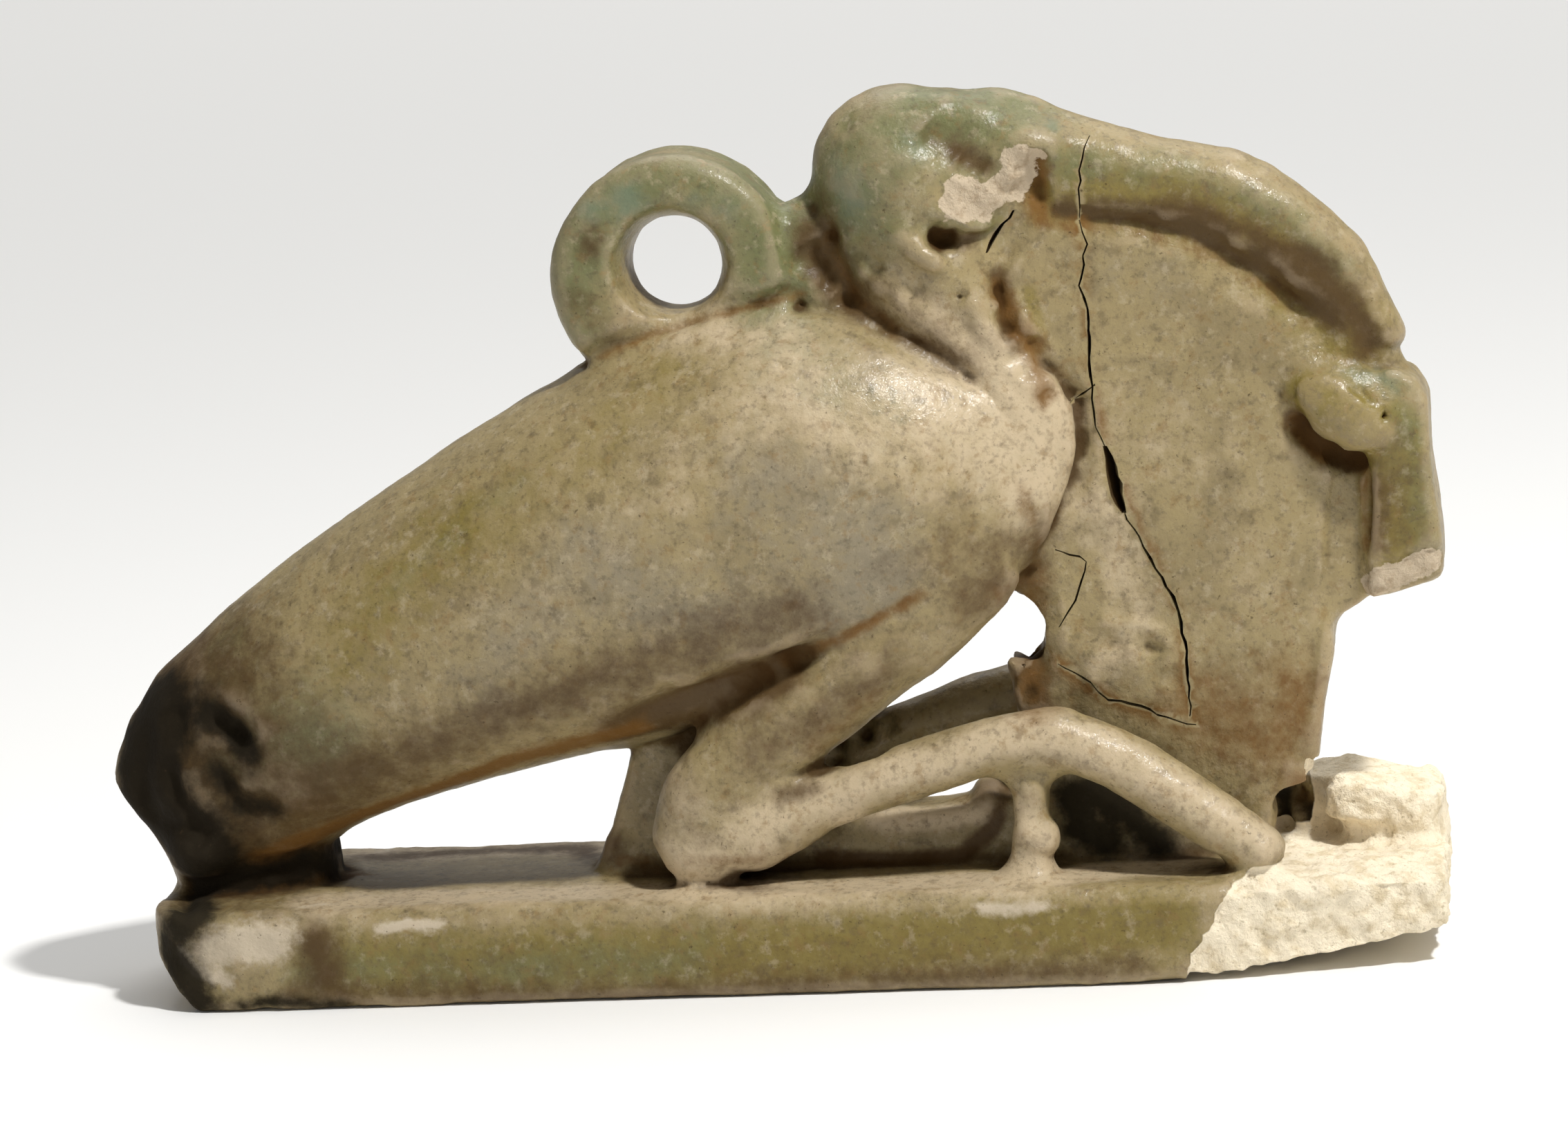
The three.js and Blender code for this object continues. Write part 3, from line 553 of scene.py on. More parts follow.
# The glaze colours that age left in patches, and in some dark brown, orange and black ones painted shade and
# shadow. Each patch is a path on the near side, its radius in mm and its strength; the far side has the same
# patches.
patches = {
    "green": [
        ([(850, 330), (870, 290), (985, 240), (1090, 270), (1130, 350)], 2.0, 0.8),
        ([(815, 400), (835, 480)], 1.2, 0.7), ([(1110, 400), (1100, 440)], 1.0, 0.5),
        ([(1200, 300), (1250, 220), (1330, 165), (1430, 150)], 2.7, 0.8),
        ([(1370, 320), (1430, 325)], 0.7, 0.5), ([(360, 1080), (440, 1080)], 2.4, 0.7),
        ([(320, 940)], 1.4, 0.6), ([(440, 1400), (700, 1400), (1000, 1390)], 1.1, 0.5),
        ([(2030, 560), (2050, 700), (2060, 800)], 0.9, 0.5),
        ([(1540, 240), (1700, 240), (1850, 300), (1940, 390)], 0.8, 0.5),
        ([(1130, 520), (1230, 560)], 1.5, 0.35), ([(540, 860), (760, 690)], 0.9, 0.3),
    ],
    "ochre": [
        ([(960, 560), (840, 620), (700, 740)], 1.8, 0.32),
        ([(640, 780), (560, 860), (500, 950)], 1.8, 0.55), ([(880, 690), (760, 830)], 1.4, 0.3),
        ([(1010, 520)], 1.5, 0.3),
        ([(1530, 275), (1680, 290), (1800, 336), (1900, 424), (1960, 480)], 1.3, 1.0),
        ([(480, 1400), (900, 1385), (1200, 1375), (1400, 1355), (1700, 1335)], 1.3, 0.9),
        ([(1215, 330)], 0.9, 0.5), ([(2010, 640), (2030, 790)], 1.3, 1.0),
        ([(420, 1180), (560, 1080)], 1.0, 0.5), ([(1890, 580), (1940, 590), (1990, 640)], 1.1, 1.0),
        ([(1490, 430), (1500, 500)], 0.5, 0.6), ([(1390, 330), (1440, 326)], 0.4, 0.6),
    ],
    "cream": [
        ([(1440, 560), (1500, 620), (1500, 700)], 1.8, 0.8), ([(1330, 560), (1400, 640)], 1.8, 0.6),
        ([(970, 1140), (1000, 1220), (1060, 1230)], 1.3, 0.5), ([(1100, 1060), (1250, 960)], 1.2, 0.2),
        ([(1100, 1190), (1200, 1150), (1320, 1110), (1440, 1070)], 0.9, 0.8),
        ([(1480, 1050), (1600, 1090), (1720, 1150), (1830, 1220)], 1.0, 0.8),
        ([(1000, 480), (1120, 480)], 1.4, 0.6), ([(1050, 640), (900, 760), (760, 880)], 2.6, 0.35),
        ([(1150, 560), (1250, 660)], 2.2, 0.5), ([(1220, 1180), (1320, 1180), (1420, 1175)], 0.6, 0.9),
        ([(460, 1306), (700, 1294), (900, 1290), (1200, 1284), (1500, 1270), (1700, 1250)], 1.2, 1.0),
        ([(1680, 620), (1780, 700), (1800, 850)], 2.6, 0.3), ([(1480, 540), (1530, 600)], 0.9, 0.6),
        ([(1300, 420), (1400, 490), (1430, 520)], 1.0, 0.5),
        ([(1600, 740), (1640, 900), (1600, 960)], 1.1, 0.5), ([(1170, 1140)], 0.6, 0.3),
        ([(272, 1130), (276, 1160)], 0.3, 0.3), ([(1480, 1170), (1500, 1220)], 0.7, 0.7),
    ],
    "grey": [
        ([(1100, 700), (1250, 760)], 2.2, 0.6), ([(850, 800), (950, 880), (1080, 900)], 2.0, 0.6),
        ([(760, 900), (700, 1000)], 1.6, 0.5), ([(1280, 840), (1200, 880)], 1.4, 0.7),
        ([(1290, 140), (1420, 140)], 1.2, 0.7), ([(1600, 370), (1700, 420)], 2.0, 0.3),
        ([(300, 970)], 0.9, 0.4),
    ],
    "umberAndShade": [
        ([(340, 980), (410, 1120), (380, 1210)], 2.8, 0.58), ([(230, 1000), (240, 1180)], 3.4, 0.9),
        # The first patch on the next line is a painted shadow under the tail, on the plinth.
        ([(300, 1266), (400, 1258), (490, 1234)], 0.7, 0.95), ([(1190, 290), (1200, 330)], 0.9, 0.5),
        # Next line: a painted shadow line along the plinth's bottom edge.
        ([(420, 1440), (900, 1440), (1300, 1420), (1650, 1400)], 0.6, 0.6),
        # The second patch on the next line and the one after it are a painted shadow under the bill.
        ([(460, 1370), (470, 1400)], 0.9, 0.85), ([(1530, 306), (1650, 314), (1750, 342)], 0.3, 0.9),
        ([(1750, 346), (1850, 400), (1920, 458)], 0.45, 0.95),
        # The next three lines, up to the feather-strip patch, are painted shade on the bill's lower half and
        # tip.
        ([(1880, 380), (1940, 430), (1975, 490)], 0.9, 0.85),
        ([(1540, 292), (1640, 298), (1740, 322)], 0.45, 0.6),
        ([(1700, 304), (1800, 334), (1890, 404)], 0.7, 0.75), ([(2016, 640), (2040, 790)], 1.0, 0.45),
        # Next line: painted shadow, with some dirt, at the thigh's root under the wing fold.
        ([(900, 1060), (960, 1040), (1040, 1010), (1110, 985)], 0.8, 1.0),
        ([(600, 1390), (1000, 1380), (1400, 1360), (1700, 1330)], 1.0, 0.3),
        # The next two lines are painted shade on the down-facing lower body and thigh.
        ([(480, 1150), (760, 1020), (1000, 940), (1150, 890)], 1.8, 0.62),
        ([(1060, 1130), (1180, 1030), (1300, 940)], 1.4, 0.35),
        ([(1240, 400), (1320, 450), (1400, 510)], 1.2, 0.45),
        # The next two lines are painted shade on the down-facing lower breast, heel and thigh.
        ([(1400, 880), (1480, 830), (1520, 760)], 1.0, 0.6), ([(1390, 810), (1450, 785)], 1.3, 0.45),
        ([(960, 1150), (1010, 1210)], 0.8, 0.3), ([(1100, 1080), (1200, 1040), (1280, 980)], 0.7, 0.4),
        # Next line: painted shadow, with some dirt, at the thigh's root under the wing fold.
        ([(900, 1050), (1000, 1016), (1130, 970)], 0.7, 0.9),
        # The first patch on the next line is a painted shadow under the curl.
        ([(1876, 600), (1900, 644), (1970, 660)], 0.55, 1.0), ([(1990, 700), (1992, 790)], 0.35, 0.6),
        ([(1180, 350), (1205, 400), (1230, 430)], 0.9, 0.95), ([(1440, 400), (1470, 490)], 0.5, 0.8),
        ([(1240, 445), (1300, 485), (1380, 520)], 0.4, 0.6), ([(1350, 346), (1400, 344)], 0.5, 0.8),
        ([(830, 430), (880, 490)], 0.7, 0.5), ([(930, 330), (915, 400), (950, 440)], 0.5, 0.6),
        ([(1345, 185), (1385, 215)], 0.8, 0.45), ([(1388, 222), (1424, 240)], 0.4, 0.8),
        ([(1280, 820), (1350, 800), (1390, 720)], 0.7, 0.35), ([(860, 335), (850, 365)], 0.5, 0.7),
        # Next line: painted shadow on the plinth's top under the body.
        ([(540, 1240), (700, 1230), (880, 1224)], 0.8, 0.8),
        # The next two lines are painted shade on the plinth's top under and between the legs.
        ([(1190, 1240), (1300, 1245), (1390, 1236)], 0.35, 1.0),
        ([(1405, 1225), (1440, 1195), (1450, 1145)], 0.35, 1.0), ([(1420, 1140), (1446, 1136)], 0.6, 0.9),
        ([(1475, 880), (1480, 930), (1500, 1020)], 0.8, 0.9), ([(1130, 1150), (1180, 1140)], 0.4, 0.6),
    ],
    "teal": [
        ([(905, 290)], 0.7, 0.9), ([(850, 300)], 0.5, 0.8), ([(1230, 300)], 0.9, 0.5),
        ([(1215, 250)], 0.9, 0.6), ([(1320, 215)], 0.7, 0.5), ([(1290, 590)], 1.0, 0.35),
        ([(1960, 540), (2010, 550)], 0.6, 0.5), ([(1523, 183)], 0.4, 0.6),
        ([(1000, 290), (1060, 300)], 0.8, 0.4),
    ],
    "orangeAndShade": [
        ([(380, 1240), (560, 1164), (760, 1094), (920, 1054)], 0.6, 0.95),
        ([(1140, 956), (1195, 932), (1330, 862)], 0.3, 0.7), ([(1180, 1080), (1260, 1010)], 0.6, 0.4),
        # Next line: a painted shadow under the tail, on the plinth.
        ([(300, 1290), (480, 1268), (560, 1260)], 0.35, 0.8),
        # Next line: painted shadow on the plinth's top under the body.
        ([(600, 1258), (900, 1246), (1100, 1242)], 0.3, 0.5),
        ([(1760, 1050), (1840, 1080), (1880, 1020)], 1.5, 0.6), ([(1700, 1000), (1860, 960)], 1.0, 0.3),
        # Next line: a painted shadow under the bill.
        ([(1506, 322), (1650, 336), (1760, 372), (1840, 424), (1890, 470)], 0.3, 0.5),
        ([(1440, 420), (1490, 500), (1510, 570)], 0.6, 0.7),
        ([(1200, 350), (1240, 430), (1290, 480)], 0.5, 0.4),
        ([(1490, 850), (1480, 950), (1500, 1030)], 0.9, 0.6),
        # Next line: a painted shadow under the curl.
        ([(1870, 610), (1900, 655), (1975, 668)], 0.4, 0.6),
        ([(1561, 318), (1575, 532), (1606, 664), (1705, 885), (1721, 1036)], 0.28, 0.6),
        ([(1530, 960), (1604, 1013), (1702, 1044)], 0.35, 0.7), ([(1500, 225), (1500, 300)], 0.45, 0.9),
        # Next line: painted shade in the hollow between the toes' end and the stump.
        ([(1880, 1130), (1900, 1170)], 0.5, 0.8),
        ([(841, 530), (956, 478), (1083, 445), (1161, 425)], 0.25, 0.6),
        ([(1300, 1150), (1400, 1155)], 0.4, 0.4), ([(1478, 700), (1500, 810), (1440, 860)], 0.5, 0.4),
        ([(1976, 680), (1976, 790)], 0.3, 0.6),
    ],
    "worn": [
        ([(300, 1375), (345, 1366), (392, 1368)], 0.66, 1.0),
        ([(262, 1376), (280, 1402), (330, 1420)], 0.25, 0.9),
        ([(550, 1344), (592, 1336), (640, 1338)], 0.2, 1.0),
        ([(1418, 1312), (1460, 1316), (1510, 1310)], 0.26, 0.8), ([(658, 1456), (692, 1454)], 0.2, 0.8),
        ([(350, 1352), (420, 1345)], 0.4, 0.5), ([(440, 1312), (480, 1308)], 0.2, 0.5),
        ([(1805, 476)], 0.12, 1.0),
    ],
    "blackAndShade": [
        ([(222, 1010), (204, 1080), (200, 1150), (214, 1215), (250, 1262)], 1.0, 0.95),
        ([(246, 1010), (236, 1090), (240, 1170), (270, 1240)], 0.9, 0.85),
        ([(290, 1190), (320, 1240)], 0.7, 0.8), ([(204, 1060), (200, 1160)], 1.9, 0.8),
        # The second patch on the next line is a painted shadow under the tail, on the plinth.
        ([(300, 1040), (330, 1190)], 2.2, 0.4), ([(250, 1285), (330, 1274), (484, 1256)], 0.6, 0.95),
        # Next line: painted shade in the hollow between the toes' end and the stump.
        ([(1856, 1148), (1866, 1192), (1900, 1176)], 0.5, 0.95),
        ([(300, 1030), (330, 1050), (362, 1086)], 0.55, 0.95),
        ([(320, 1120), (345, 1160), (400, 1172)], 0.5, 0.6),
        # The second patch on the next line and the line after it are a painted shadow along the plinth's
        # bottom edge.
        ([(240, 1370), (246, 1430), (290, 1450)], 0.8, 0.95), ([(350, 1455), (500, 1467)], 0.35, 0.75),
        ([(1700, 1420), (1850, 1405), (2000, 1365)], 0.3, 0.8),
        # The next line and the first patch of the line after it are painted shade in the hollow under the
        # legs; the second patch of that line is a painted shadow under the tail.
        ([(1550, 1150), (1560, 1195), (1600, 1215)], 0.8, 0.95),
        ([(1585, 1140), (1630, 1175), (1680, 1222)], 0.7, 0.95), ([(440, 1240), (490, 1222)], 0.4, 0.8),
        ([(1484, 930), (1496, 1000)], 0.3, 0.6),
    ],
}


# Paths seen on the near half are repeated on the far one; those on the plinth's far edge stay there.
def paintPatches(piece):
    tree = treeOf(piece)
    points = readPoints(piece)
    folded = foldOver(points)
    for name, blobs in patches.items():
        bare = np.ones(len(points))
        for path, radius, strength in blobs:
            line = np.array([findOn(tree, pixel)[0] for pixel in spread(path, 40)])
            if len(line) == 1:
                line = np.repeat(line, 2, axis=0)
            where = points if line[:, 1].mean() > 0.2 * mm else folded
            reach = 2.5 * radius * mm
            near = np.all((where > line.min(0) - reach) & (where < line.max(0) + reach), axis=1)
            bare[near] *= 1 - strength * fade(alongPath(where[near], line)[0], 1.4 * radius * mm)
        keepMask(piece, name, 1 - bare)


# How much of the sky each point misses within a few millimetres, from rays in a fixed fan.
def findHollows(piece, rays=9, reach=3.5 * mm):
    tree = treeOf(piece)
    points, normals = readPoints(piece), readNormals(piece)
    chance = np.random.default_rng(5)
    fan = chance.normal(size=(64, rays, 3))
    fan /= np.linalg.norm(fan, axis=2, keepdims=True)
    hidden = np.zeros(len(points))
    for i, (point, normal) in enumerate(zip(points, normals)):
        start = Vector(point + normal * 0.03 * mm)
        total = 0
        for way in fan[i % 64]:
            distance = tree.ray_cast(start, Vector(way * 0.98 + normal), reach)[3]
            if distance is not None:
                total += 1 - distance / reach
        hidden[i] = total / rays
    return soften(hidden[:, None], readEdges(piece), 4)[:, 0]


def findCurve(piece, rounds):
    points, normals, edges = readPoints(piece), readNormals(piece), readEdges(piece)
    smooth = soften(points, edges, rounds)
    bend = np.einsum("ij,ij->i", smooth - points, normals)
    return soften(bend[:, None], edges, 2)[:, 0]


paintPatches(ibis)
# Earth and painted occlusion shade lie in hollows and along folds, darkest where the most sky is hidden;
# "bend" is the height in mm of a fold that counts in full.
hollowEarthAndShade = {"hollow": 1.5, "share": 0.9, "bend": 0.16, "rounds": 12}
hollows = findHollows(ibis)
bend = findCurve(ibis, hollowEarthAndShade["rounds"])
bend = np.clip(0.5 + bend / (hollowEarthAndShade["bend"] * mm), 0, 1)
keepMask(ibis, "sunk", hollowEarthAndShade["share"] * np.clip(hollowEarthAndShade["hollow"] * hollows, 0, 1) + hollowEarthAndShade["share"] * (bend - 0.5))
keepMask(ibis, "rubbed", 1 - bend)
print("patches painted, hollows found:", round(float(hollows.mean()), 3))

# Cracks cut by thin blades: width and depth in mm at the widest; "across" is the way the crack opens.
cracks = {
    "bill": {"path": [(1576, 196), (1564, 232), (1560, 272), (1561, 316)], "width": 0.07, "depth": 0.35,
             "across": "x"},
    "webTop": {"path": [(1561, 318), (1571, 355), (1562, 414), (1575, 463), (1575, 532), (1580, 578),
               (1584, 617), (1600, 650)], "width": 0.09, "depth": 0.5, "across": "x"},
    "slot": {"path": [(1598, 645), (1606, 664), (1611, 690), (1617, 716), (1626, 742)], "width": 0.4,
             "depth": 1.1, "across": "x"},
    "webLow": {"path": [(1620, 728), (1639, 764), (1671, 822), (1694, 862), (1705, 885), (1718, 956),
               (1721, 1036)], "width": 0.12, "depth": 0.6, "across": "x"},
    "wedge": {"path": [(1548, 582), (1566, 570), (1584, 556)], "width": 0.1, "depth": 0.25, "across": "z"},
    "breast": {"path": [(1526, 795), (1548, 802), (1572, 813)], "width": 0.1, "depth": 0.4, "across": "z"},
    "breastLow": {"path": [(1571, 813), (1563, 853), (1546, 882), (1532, 907)], "width": 0.09, "depth": 0.4,
                  "across": "x"},
    "foot": {"path": [(1530, 960), (1577, 986), (1604, 1013), (1650, 1022), (1702, 1044), (1730, 1048)],
             "width": 0.1, "depth": 0.4, "across": "z"},
    "cheek": {"path": [(1466, 304), (1440, 334), (1427, 366)], "width": 0.16, "depth": 0.5, "across": "x"},
}


# A crack wanders by a few pixels of the photo and swells towards its middle.
wander = {"pixelStep": 13, "pixels": 1.6, "width": (0.7, 1.25)}


def makeBlade(tree, name, crack, seed):
    chance = np.random.default_rng(seed)
    pixels = spread(crack["path"], wander["pixelStep"])
    places = []
    for i, pixel in enumerate(pixels):
        jitter = chance.normal(0, wander["pixels"], 2) if 0 < i < len(pixels) - 1 else 0
        places.append(Vector(findOn(tree, pixel + jitter)[0]))
    deselectAll()
    bpy.ops.mesh.primitive_circle_add(vertices=4, radius=1, fill_type="NGON", location=places[0],
                                      rotation=(0, 0, 0) if crack["across"] == "x" else (0, math.pi / 2, 0))
    blade = bpy.context.active_object
    blade.name = name
    bpy.ops.object.transform_apply(location=True, rotation=True, scale=True)
    bpy.ops.object.mode_set(mode="EDIT")
    bpy.ops.mesh.select_all(action="SELECT")
    axis = {"x": 0, "z": 2}[crack["across"]]
    before = Vector((1, 1, 1))
    for i, place in enumerate(places):
        swell = 0.3 + 0.7 * math.sin(math.pi * (i + 0.4) / (len(places) - 0.2))
        size = Vector((1, crack["depth"] * mm * (0.4 + 0.6 * swell), 1))
        size[axis] = crack["width"] / 2 * mm * swell * chance.uniform(*wander["width"])
        if i:
            bpy.ops.mesh.extrude_region_move(TRANSFORM_OT_translate={"value": place - places[i - 1]})
        ratio = [size[k] / before[k] for k in range(3)]
        bpy.ops.transform.resize(value=ratio, center_override=place)
        before = size
    bpy.ops.mesh.select_all(action="SELECT")
    bpy.ops.mesh.normals_make_consistent(inside=False)
    bpy.ops.object.mode_set(mode="OBJECT")
    keepMask(blade, "sunk", np.ones(len(blade.data.vertices)))  # the walls of a crack are full of earth, and of painted shade
    return blade


def cutCracks(piece):
    tree = treeOf(piece)
    for seed, (name, crack) in enumerate(cracks.items()):
        blade = makeBlade(tree, "crack_" + name, crack, 60 + seed)
        applyModifier(piece, "BOOLEAN", object=blade, operation="DIFFERENCE", solver="MANIFOLD")
        bpy.data.objects.remove(blade)


cutCracks(ibis)
print("cracks cut:", len(cracks), "faces now", len(ibis.data.polygons))
activate(ibis)
bpy.ops.object.mode_set(mode="EDIT")
bpy.ops.mesh.select_all(action="SELECT")
bpy.ops.mesh.quads_convert_to_tris()
bpy.ops.object.mode_set(mode="OBJECT")
bpy.ops.object.shade_smooth_by_angle(angle=math.radians(55))

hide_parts("ibis_amulet")
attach(ibis, "root")


def linearColour(hexValue):
    channels = [int(hexValue[i : i + 2], 16) / 255 for i in (1, 3, 5)]
    return tuple(
        c / 12.92 if c <= 0.04045 else ((c + 0.055) / 1.055) ** 2.4 for c in channels
    ) + (1,)


def addNode(tree, kind, settings=None, links=None, output=0):
    node = tree.nodes.new(kind)
    for name, value in (settings or {}).items():
        if isinstance(name, str) and hasattr(node, name):
            setattr(node, name, value)
        else:
            node.inputs[name].default_value = value
    for name, source in (links or {}).items():
        tree.links.new(source, node.inputs[name])
    return node.outputs[output] if len(node.outputs) else node


# Egyptian faience: a ground-quartz paste, moulded and fired with a thin alkaline glaze. Age turned the glaze
# from blue-green to olive, ochre and cream. It still shines in small sparks, and the bare core is matt and
# grainy. The numbers of the gloss are a glass-like glaze's own, dulled by wear.
# Each layer lies over the ones before it. "mask" is where it lies, "grain" the size in mm of the noise that
# breaks it up and "breakup" by how much; it shows from the first level to the second, "most" at the fullest.
faience = {
    "glaze": "#95845b",
    "shine": 0.8,
    "levels": (0.15, 0.85),
    "noise": 0.66,  # how rough the noise is in its finer steps
    "layers": [
        {"name": "deepGlaze", "colour": "#6c5e3f", "grain": 2.4, "levels": (0.45, 0.62), "most": 0.4},
        {"name": "cream", "colour": "#bdaa8a", "mask": "cream", "grain": 0.8, "breakup": 1.0},
        {"name": "ochre", "colour": "#7b6b2d", "mask": "ochre", "grain": 0.7, "breakup": 1.1},
        {"name": "grey", "colour": "#867b63", "mask": "grey", "grain": 0.7, "breakup": 1.1},
        {"name": "green", "colour": "#6a6b42", "mask": "green", "grain": 0.9, "breakup": 1.0},
        # clouds, bloom and rust in the glaze
        {"name": "clouds", "colour": "#635335", "grain": 0.6, "levels": (0.52, 0.68), "most": 0.45},
        {"name": "bloom", "colour": "#b5a688", "grain": 0.45, "levels": (0.52, 0.68), "most": 0.4},
        {"name": "rust", "colour": "#806230", "grain": 0.5, "levels": (0.54, 0.68), "most": 0.45},
        {"name": "shade", "colour": "#3c2f1c", "grain": 0.22, "levels": (0.5, 0.7), "most": 0.4},
        {"name": "teal", "colour": "#64735a", "mask": "teal", "grain": 0.6, "breakup": 1.0, "most": 0.8},
        # brown-umber stain, and painted shade and shadow under the bill, the body, the thigh, the tail and
        # the legs
        {"name": "umberAndShade", "colour": "#4b3515", "mask": "umberAndShade", "grain": 0.7, "breakup": 0.8, "shine": 0.5,
         "most": 0.92},
        # orange-brown stain, and painted shadow under the tail, the body, the bill and the curl and in the
        # hollow by the toes
        {"name": "orangeAndShade", "colour": "#6f4d20", "mask": "orangeAndShade", "grain": 0.6, "breakup": 0.9, "shine": 0.35,
         "most": 0.9},
        {"name": "worn", "colour": "#c0b29b", "mask": "worn", "grain": 0.3, "breakup": 1.2, "shine": 0.1},
        # brown earth and painted occlusion shade in every hollow and pit, thickest in the deepest; high
        # places rubbed paler by handling
        {"name": "earthAndShade", "colour": "#3d270c", "mask": "sunk", "grain": 1.1, "breakup": 0.55, "shine": 0.1,
         "levels": (0.3, 0.85), "most": 0.88},
        {"name": "rubbed", "colour": "#bca789", "mask": "rubbed", "grain": 0.36, "breakup": 0.3,
         "levels": (0.6, 0.85), "most": 0.25},
        # near-black glaze on the tail, and painted shade in the hollows under the legs and painted shadow
        # under the tail and along the plinth's foot
        {"name": "blackAndShade", "colour": "#1a150b", "mask": "blackAndShade", "grain": 0.8, "breakup": 0.9, "shine": 0.15,
         "most": 0.96},
        {"name": "specks", "colour": "#3a2d1e", "grain": 0.17, "levels": (0.63, 0.7), "most": 0.6,
         "shine": 0.1},
        # the bare quartz core in the chips and at the broken end
        {"name": "chip", "colour": "#bfae95", "mask": "chipped", "grain": 0.24, "breakup": 1.6, "shine": 0,
         "levels": (0.38, 0.62)},
        {"name": "chipStain", "colour": "#8b7455", "mask": "chipped", "grain": 0.3, "breakup": 1.0,
         "shine": 0, "levels": (0.94, 1.2), "most": 0.5},
        {"name": "core", "colour": "#f1e4ca", "mask": "broken", "grain": 0.3, "breakup": 0.2, "shine": 0,
         "levels": (0.3, 0.6)},
        {"name": "coreStain", "colour": "#cbb68e", "mask": "broken", "grain": 0.6, "breakup": 1.0, "shine": 0,
         "levels": (0.96, 1.16), "most": 0.6},
        {"name": "corePits", "colour": "#a38f68", "mask": "broken", "grain": 0.16, "breakup": 1.0, "shine": 0,
         "levels": (1.06, 1.18), "most": 0.55},
    ],
    # Relief too fine to model: size of the noise and its height, in mm, and the mask it is kept to.
    "relief": [
        {"name": "waves", "grain": 0.55, "height": 0.06},
        {"name": "ripple", "grain": 0.3, "height": 0.03},
        {"name": "pores", "grain": 0.14, "height": 0.014},
        {"name": "coreGrain", "grain": 0.22, "height": 0.16, "mask": "broken"},
        {"name": "chipGrain", "grain": 0.22, "height": 0.16, "mask": "chipped"},
    ],
}


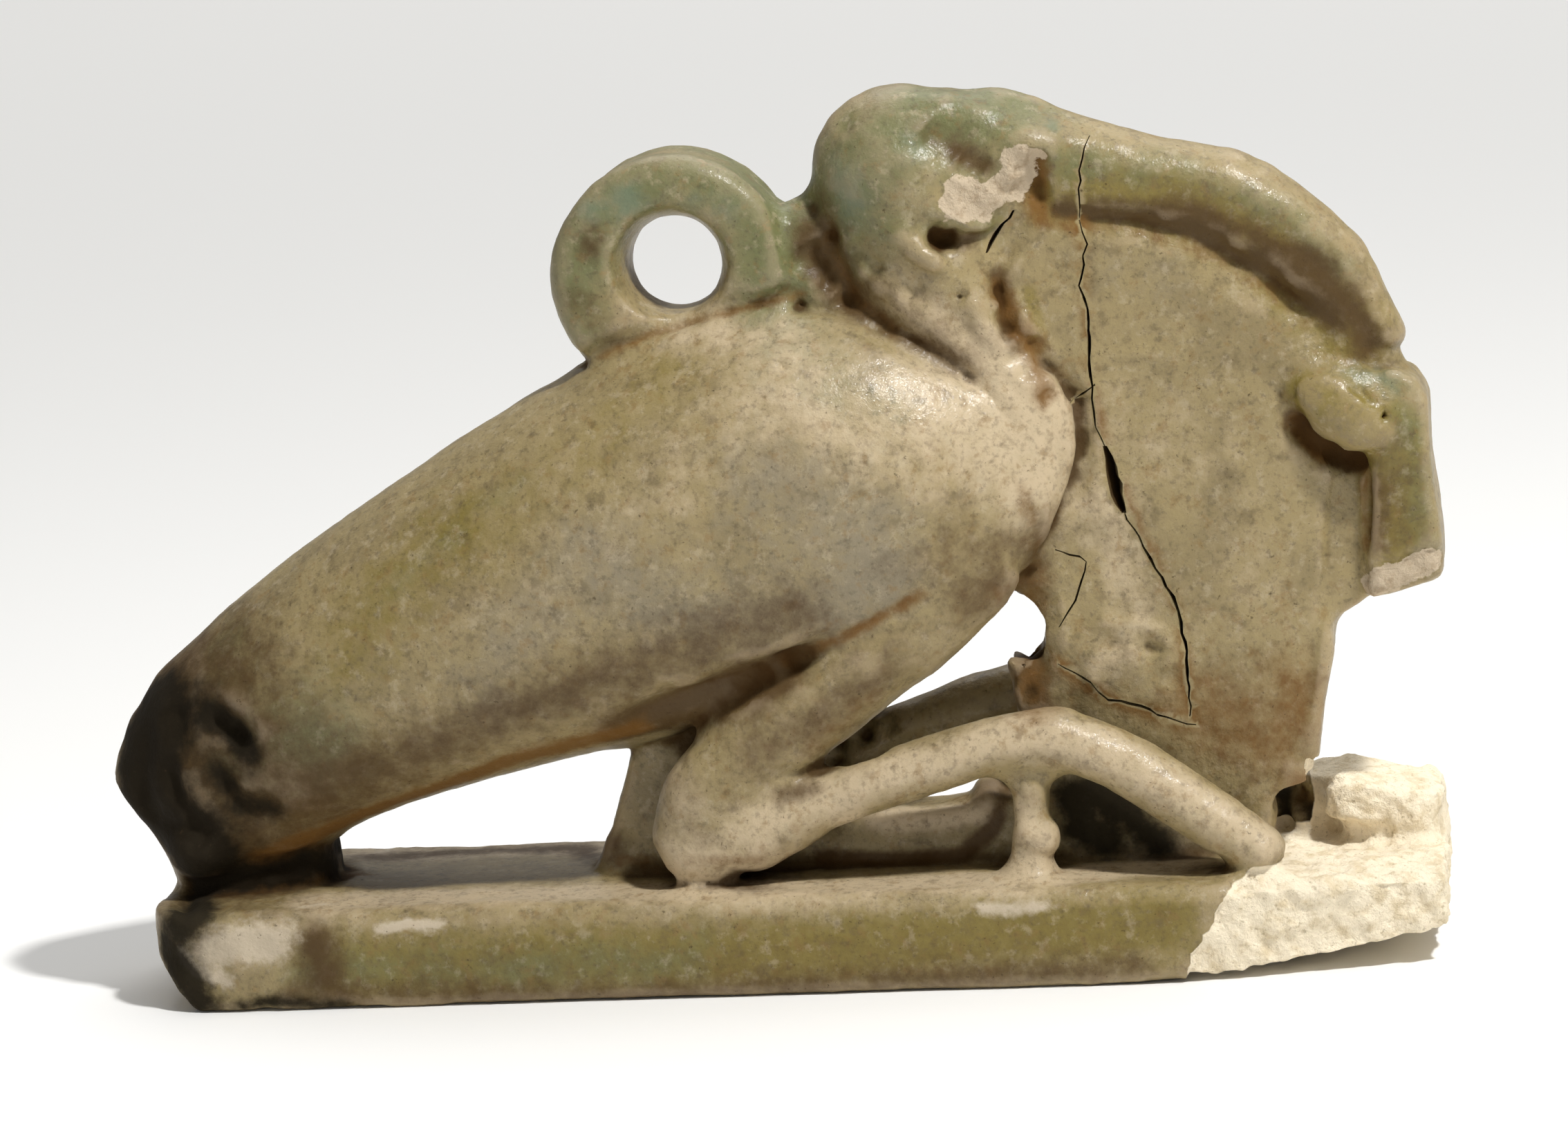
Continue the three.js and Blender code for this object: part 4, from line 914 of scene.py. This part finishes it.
def makeFaience():
    material = bpy.data.materials.new("aged_glazed_faience")
    material.use_nodes = True
    tree = material.node_tree
    tree.nodes.clear()
    place = addNode(tree, "ShaderNodeTexCoord", output="Object")
    colour = shine = None
    for layer in faience["layers"]:
        start, end = layer.get("levels", faience["levels"])
        noise = {"Scale": 1 / (layer["grain"] * mm), "Detail": 6, "Roughness": faience["noise"]}
        level = addNode(tree, "ShaderNodeTexNoise", noise, {"Vector": place}, "Fac")
        if "mask" in layer:
            start, end = (edge + layer["breakup"] / 2 for edge in (start, end))
            mask = addNode(tree, "ShaderNodeAttribute", {"attribute_name": layer["mask"]}, output="Fac")
            level = addNode(tree, "ShaderNodeMath", {"operation": "MULTIPLY_ADD", 1: layer["breakup"]},
                            {0: level, 2: mask})
        amount = addNode(tree, "ShaderNodeMapRange",
                         {"interpolation_type": "SMOOTHSTEP", "From Min": start, "From Max": end,
                          "To Max": layer.get("most", 1)}, {"Value": level})
        shades = {"data_type": "RGBA", 6: linearColour(faience["glaze"]), 7: linearColour(layer["colour"])}
        colour = addNode(tree, "ShaderNodeMix", shades, {0: amount, 6: colour} if colour else {0: amount}, 2)
        if "shine" in layer:
            shine = addNode(tree, "ShaderNodeMix", {2: faience["shine"], 3: layer["shine"]},
                            {0: amount, 2: shine} if shine else {0: amount})

    height = None
    for form in faience["relief"]:
        noise = {"Scale": 1 / (form["grain"] * mm), "Detail": 4, "Roughness": faience["noise"]}
        level = addNode(tree, "ShaderNodeTexNoise", noise, {"Vector": place}, "Fac")
        if "mask" in form:
            mask = addNode(tree, "ShaderNodeAttribute", {"attribute_name": form["mask"]}, output="Fac")
            level = addNode(tree, "ShaderNodeMath", {"operation": "MULTIPLY"}, {0: level, 1: mask})
        height = addNode(tree, "ShaderNodeMath", {"operation": "MULTIPLY_ADD", 1: form["height"], 2: 0},
                         {0: level, 2: height} if height else {0: level})
    bump = addNode(tree, "ShaderNodeBump", {"Strength": 0.8, "Distance": mm}, {"Height": height})

    roughness = addNode(tree, "ShaderNodeMapRange", {"To Min": 0.92, "To Max": 0.46}, {"Value": shine})
    specular = addNode(tree, "ShaderNodeMapRange", {"To Min": 0.08, "To Max": 0.55}, {"Value": shine})
    coat = addNode(tree, "ShaderNodeMapRange", {"From Min": 0.3, "To Max": 0.36}, {"Value": shine})
    shader = addNode(tree, "ShaderNodeBsdfPrincipled", {"IOR": 1.45, "Coat Roughness": 0.1},
                     {"Base Color": colour, "Roughness": roughness, "Specular IOR Level": specular,
                      "Normal": bump, "Coat Weight": coat, "Coat Normal": bump})
    addNode(tree, "ShaderNodeOutputMaterial", links={"Surface": shader})
    return material


ibis.data.materials.clear()
ibis.data.materials.append(makeFaience())


# A white studio: a wide floor, a soft key from the upper right, a large fill, a lamp for the floor behind and
# a pale surround.
def makeStudio():
    scene = bpy.context.scene
    scene.view_settings.view_transform = "Standard"
    deselectAll()
    bpy.ops.mesh.primitive_plane_add(size=6, location=(0, 0, 0))
    floor = bpy.context.active_object
    floor.name = "floor"
    paper = bpy.data.materials.new("white_paper")
    paper.use_nodes = True
    shader = paper.node_tree.nodes["Principled BSDF"]
    shader.inputs["Base Color"].default_value = linearColour("#f4f3f0")
    shader.inputs["Roughness"].default_value = 0.9
    floor.data.materials.append(paper)
    lights = {
        "key": {"from": (0.5, -0.42, 0.95), "away": 200 * mm, "size": 16 * mm, "watts": 0.4},
        "fill": {"from": (-0.3, -0.9, 0.3), "away": 420 * mm, "size": 220 * mm, "watts": 0.07},
        "top": {"from": (0.05, 0.45, 1), "away": 1000 * mm, "size": 800 * mm, "watts": 3.6},
        "backdrop": {"from": (0, 0.5, 0.38), "away": 620 * mm, "size": 500 * mm, "watts": 0.7, "down": True},
    }
    middle = Vector(view["target"])
    for name, light in lights.items():
        data = bpy.data.lights.new(name, "AREA")
        data.size = light["size"]
        data.energy = light["watts"]
        lamp = bpy.data.objects.new(name, data)
        bpy.context.collection.objects.link(lamp)
        aim = Vector(light["from"]).normalized()
        lamp.location = middle + aim * light["away"]
        lamp.rotation_mode = "QUATERNION"
        facing = Vector((0, 0, 1)) if light.get("down") else aim
        lamp.rotation_quaternion = facing.to_track_quat("Z", "Y")
    world = bpy.data.worlds.new("studio")
    scene.world = world
    world.use_nodes = True
    world.node_tree.nodes["Background"].inputs["Color"].default_value = (1, 1, 1, 1)
    world.node_tree.nodes["Background"].inputs["Strength"].default_value = 0.24


makeStudio()
